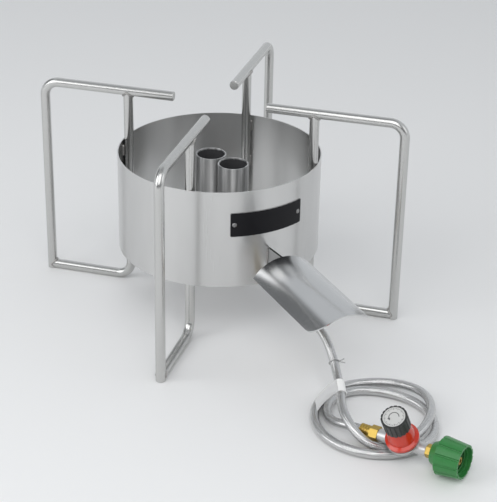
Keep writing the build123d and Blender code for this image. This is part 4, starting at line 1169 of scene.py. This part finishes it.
@dataclass
class Regulator(Assembly):
    """The regulator, its knob and the tank coupling, in millimetres and degrees.

    Args:
        lip_profile: Distances from the knob's axis and places on it.
        print_heights: Places on that axis between which the print on the disc lies.
        spring_seats: Places on that axis of the spring's two seats.
        thread_start: Place on the port's axis where the thread starts.
    """

    lip_profile: tuple[Pair, ...] = (
        (14.8, 61.6), (14.9, 61.95), (15.15, 62.05), (15.45, 61.9), (15.5, 61.52)
    )
    lip_sides: int = 64
    tick_count: int = 36
    tick_group: int = 3
    tick_reach: Pair = (12.0, 13.4)
    tick_long: float = 1.2
    tick_half: float = 0.36
    print_heights: Pair = (61.85, 61.96)
    arrow_points: int = 61
    arrow_radius: float = 6.6
    arrow_start: float = 20.0
    arrow_sweep: float = 230.0
    arrow_half: float = 0.55
    arrow_tip_half: float = 0.05
    arrow_head: float = 0.16
    arrow_head_half: float = 2.0
    spring_seats: Pair = (12.7, 28.0)
    spring_radius: float = 7.5
    spring_wire: float = 1.0
    spring_clear: float = 0.15
    spring_turns: int = 4
    spring_steps: int = 48
    spring_sides: int = 12
    button_travel: float = 4.5
    thread_turns: int = 5
    thread_steps: int = 48
    thread_pitch: float = 3.0
    thread_start: float = 64.5
    thread_section: tuple[Pair, ...] = ((16.7, -1.1), (15.4, -0.25), (15.4, 0.25), (16.7, 1.1))

    def build(self) -> bpy.types.Object:
        """Dress the regulator and add its small turned details.

        Returns:
            The control spring.
        """
        self.dress(FINISH.brass, "regulator_ferrule", "outlet_fitting", "inlet_stem")
        self.dress(FINISH.zinc, "regulator_body")
        self.dress(FINISH.red, "regulator_bonnet")
        self.dress(FINISH.black, "regulator_knob")
        self.dress(FINISH.disc, "knob_disc")
        self.dress(FINISH.green, "coupling_nut")
        self.dress(FINISH.steel, "adjusting_screw", "spring_button", "diaphragm_plate", "valve_poppet")
        self.dress(FINISH.rubber, "diaphragm")
        self.knob_lip()
        self.dial_ticks()
        self.dial_arrow()
        self.coupling_thread()
        return self.control_spring()

    def control_spring(self) -> bpy.types.Object:
        """Wind the control spring, a helix of wire about the knob's axis.

        Returns:
            The spring, which stands for the plain one.
        """
        low, high = self.spring_seats
        turn = np.linspace(0.0, 2.0 * math.pi * self.spring_turns, self.spring_steps * self.spring_turns + 1)
        clear = self.spring_wire + self.spring_clear
        height = np.linspace(low + clear, high - clear, len(turn))
        line = around(turn) * self.spring_radius + np.outer(height, UP)
        grid = tube_grid(KNOB.place(line * MM), self.spring_wire * MM, self.spring_sides)
        spring = surface("wound_spring", grid, FINISH.steel)
        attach(spring, "cooker")
        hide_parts("control_spring")
        seat = KNOB.place(np.array([0.0, 0.0, low * MM]))
        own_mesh(spring)
        return spring

    def knob_lip(self) -> None:
        """Lay the knob's thin lip round its white disc."""
        grid = revolve_grid(KNOB, np.array(self.lip_profile) * MM, self.lip_sides)
        lip = surface("knob_lip", grid, FINISH.black, loop=True)
        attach(lip, "pressure_knob")

    def dial_ticks(self) -> None:
        """Print plain ticks round the disc, each a thin raised bar."""
        long = np.where(np.arange(self.tick_count) % self.tick_group == 0, self.tick_long, 0.0)
        out = around(ring_of(self.tick_count))
        side = np.cross(UP, out)
        inner, outer = self.tick_reach
        corner = np.array([[0.0, -1.0], [1.0, -1.0], [1.0, 1.0], [0.0, 1.0]])
        reach = (inner - long)[:, None] + (outer - inner + long)[:, None] * corner[None, :, 0]
        width = corner[None, :, 1] * self.tick_half
        flat = out[:, None] * reach[..., None] + side[:, None] * width[..., None]
        bars = flat[:, None] + np.outer(self.print_heights, UP)[None, :, None]
        box = np.array([[0, 3, 2, 1], [4, 5, 6, 7], [0, 1, 5, 4], [1, 2, 6, 5], [2, 3, 7, 6], [3, 0, 4, 7]])
        faces = (np.arange(self.tick_count)[:, None, None] * 8 + box[None]).reshape(-1, 4)
        mesh = bpy.data.meshes.new("dial_ticks")
        mesh.from_pydata(KNOB.place(bars.reshape(-1, 3) * MM).tolist(), [], faces.tolist())
        mesh.materials.append(PAINT.get(FINISH.ink))
        ticks = add_object("dial_ticks", mesh)
        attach(ticks, "pressure_knob")

    def dial_arrow(self) -> None:
        """Print a curved arrow on the disc, one strip that widens and tapers into its head."""
        share = np.linspace(0.0, 1.0, self.arrow_points)
        turn = np.radians(self.arrow_start + self.arrow_sweep * share)
        head = np.maximum((1.0 - share) / self.arrow_head * self.arrow_head_half, self.arrow_tip_half)
        half = np.where(share < 1.0 - self.arrow_head, self.arrow_half, head)
        out = around(turn)
        low, high = self.print_heights
        section = [(-1.0, low), (1.0, low), (1.0, high), (-1.0, high)]
        rows = [out * (self.arrow_radius + side * half)[:, None] + UP * height for side, height in section]
        grid = np.stack(rows, axis=1)
        arrow = surface("dial_arrow", KNOB.place(grid * MM), FINISH.ink)
        arrow.data.shade_flat()
        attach(arrow, "pressure_knob")

    def coupling_thread(self) -> None:
        """Cut a coarse thread into view inside the coupling nut."""
        count = self.thread_turns * self.thread_steps + 1
        angle = np.arange(count) * (2.0 * math.pi / self.thread_steps)
        reach = self.thread_start + self.thread_pitch * angle / (2.0 * math.pi)
        grid = sweep_grid(np.outer(reach, UP), around(angle), UP, np.array(self.thread_section))
        thread = surface("coupling_thread", PORT.place(grid * MM), FINISH.green)
        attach(thread, "coupling_nut")


def main() -> None:
    """Build the scene."""
    logging.basicConfig(level=logging.INFO)
    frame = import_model()
    bpy.context.scene.view_settings.view_transform = "Standard"
    Stage().build()
    spring = Regulator(frame).build()
    Hose(frame, spring).build()
    Stand(frame).build()
    Burner(frame).build()
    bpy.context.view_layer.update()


if __name__ == "__main__":
    main()
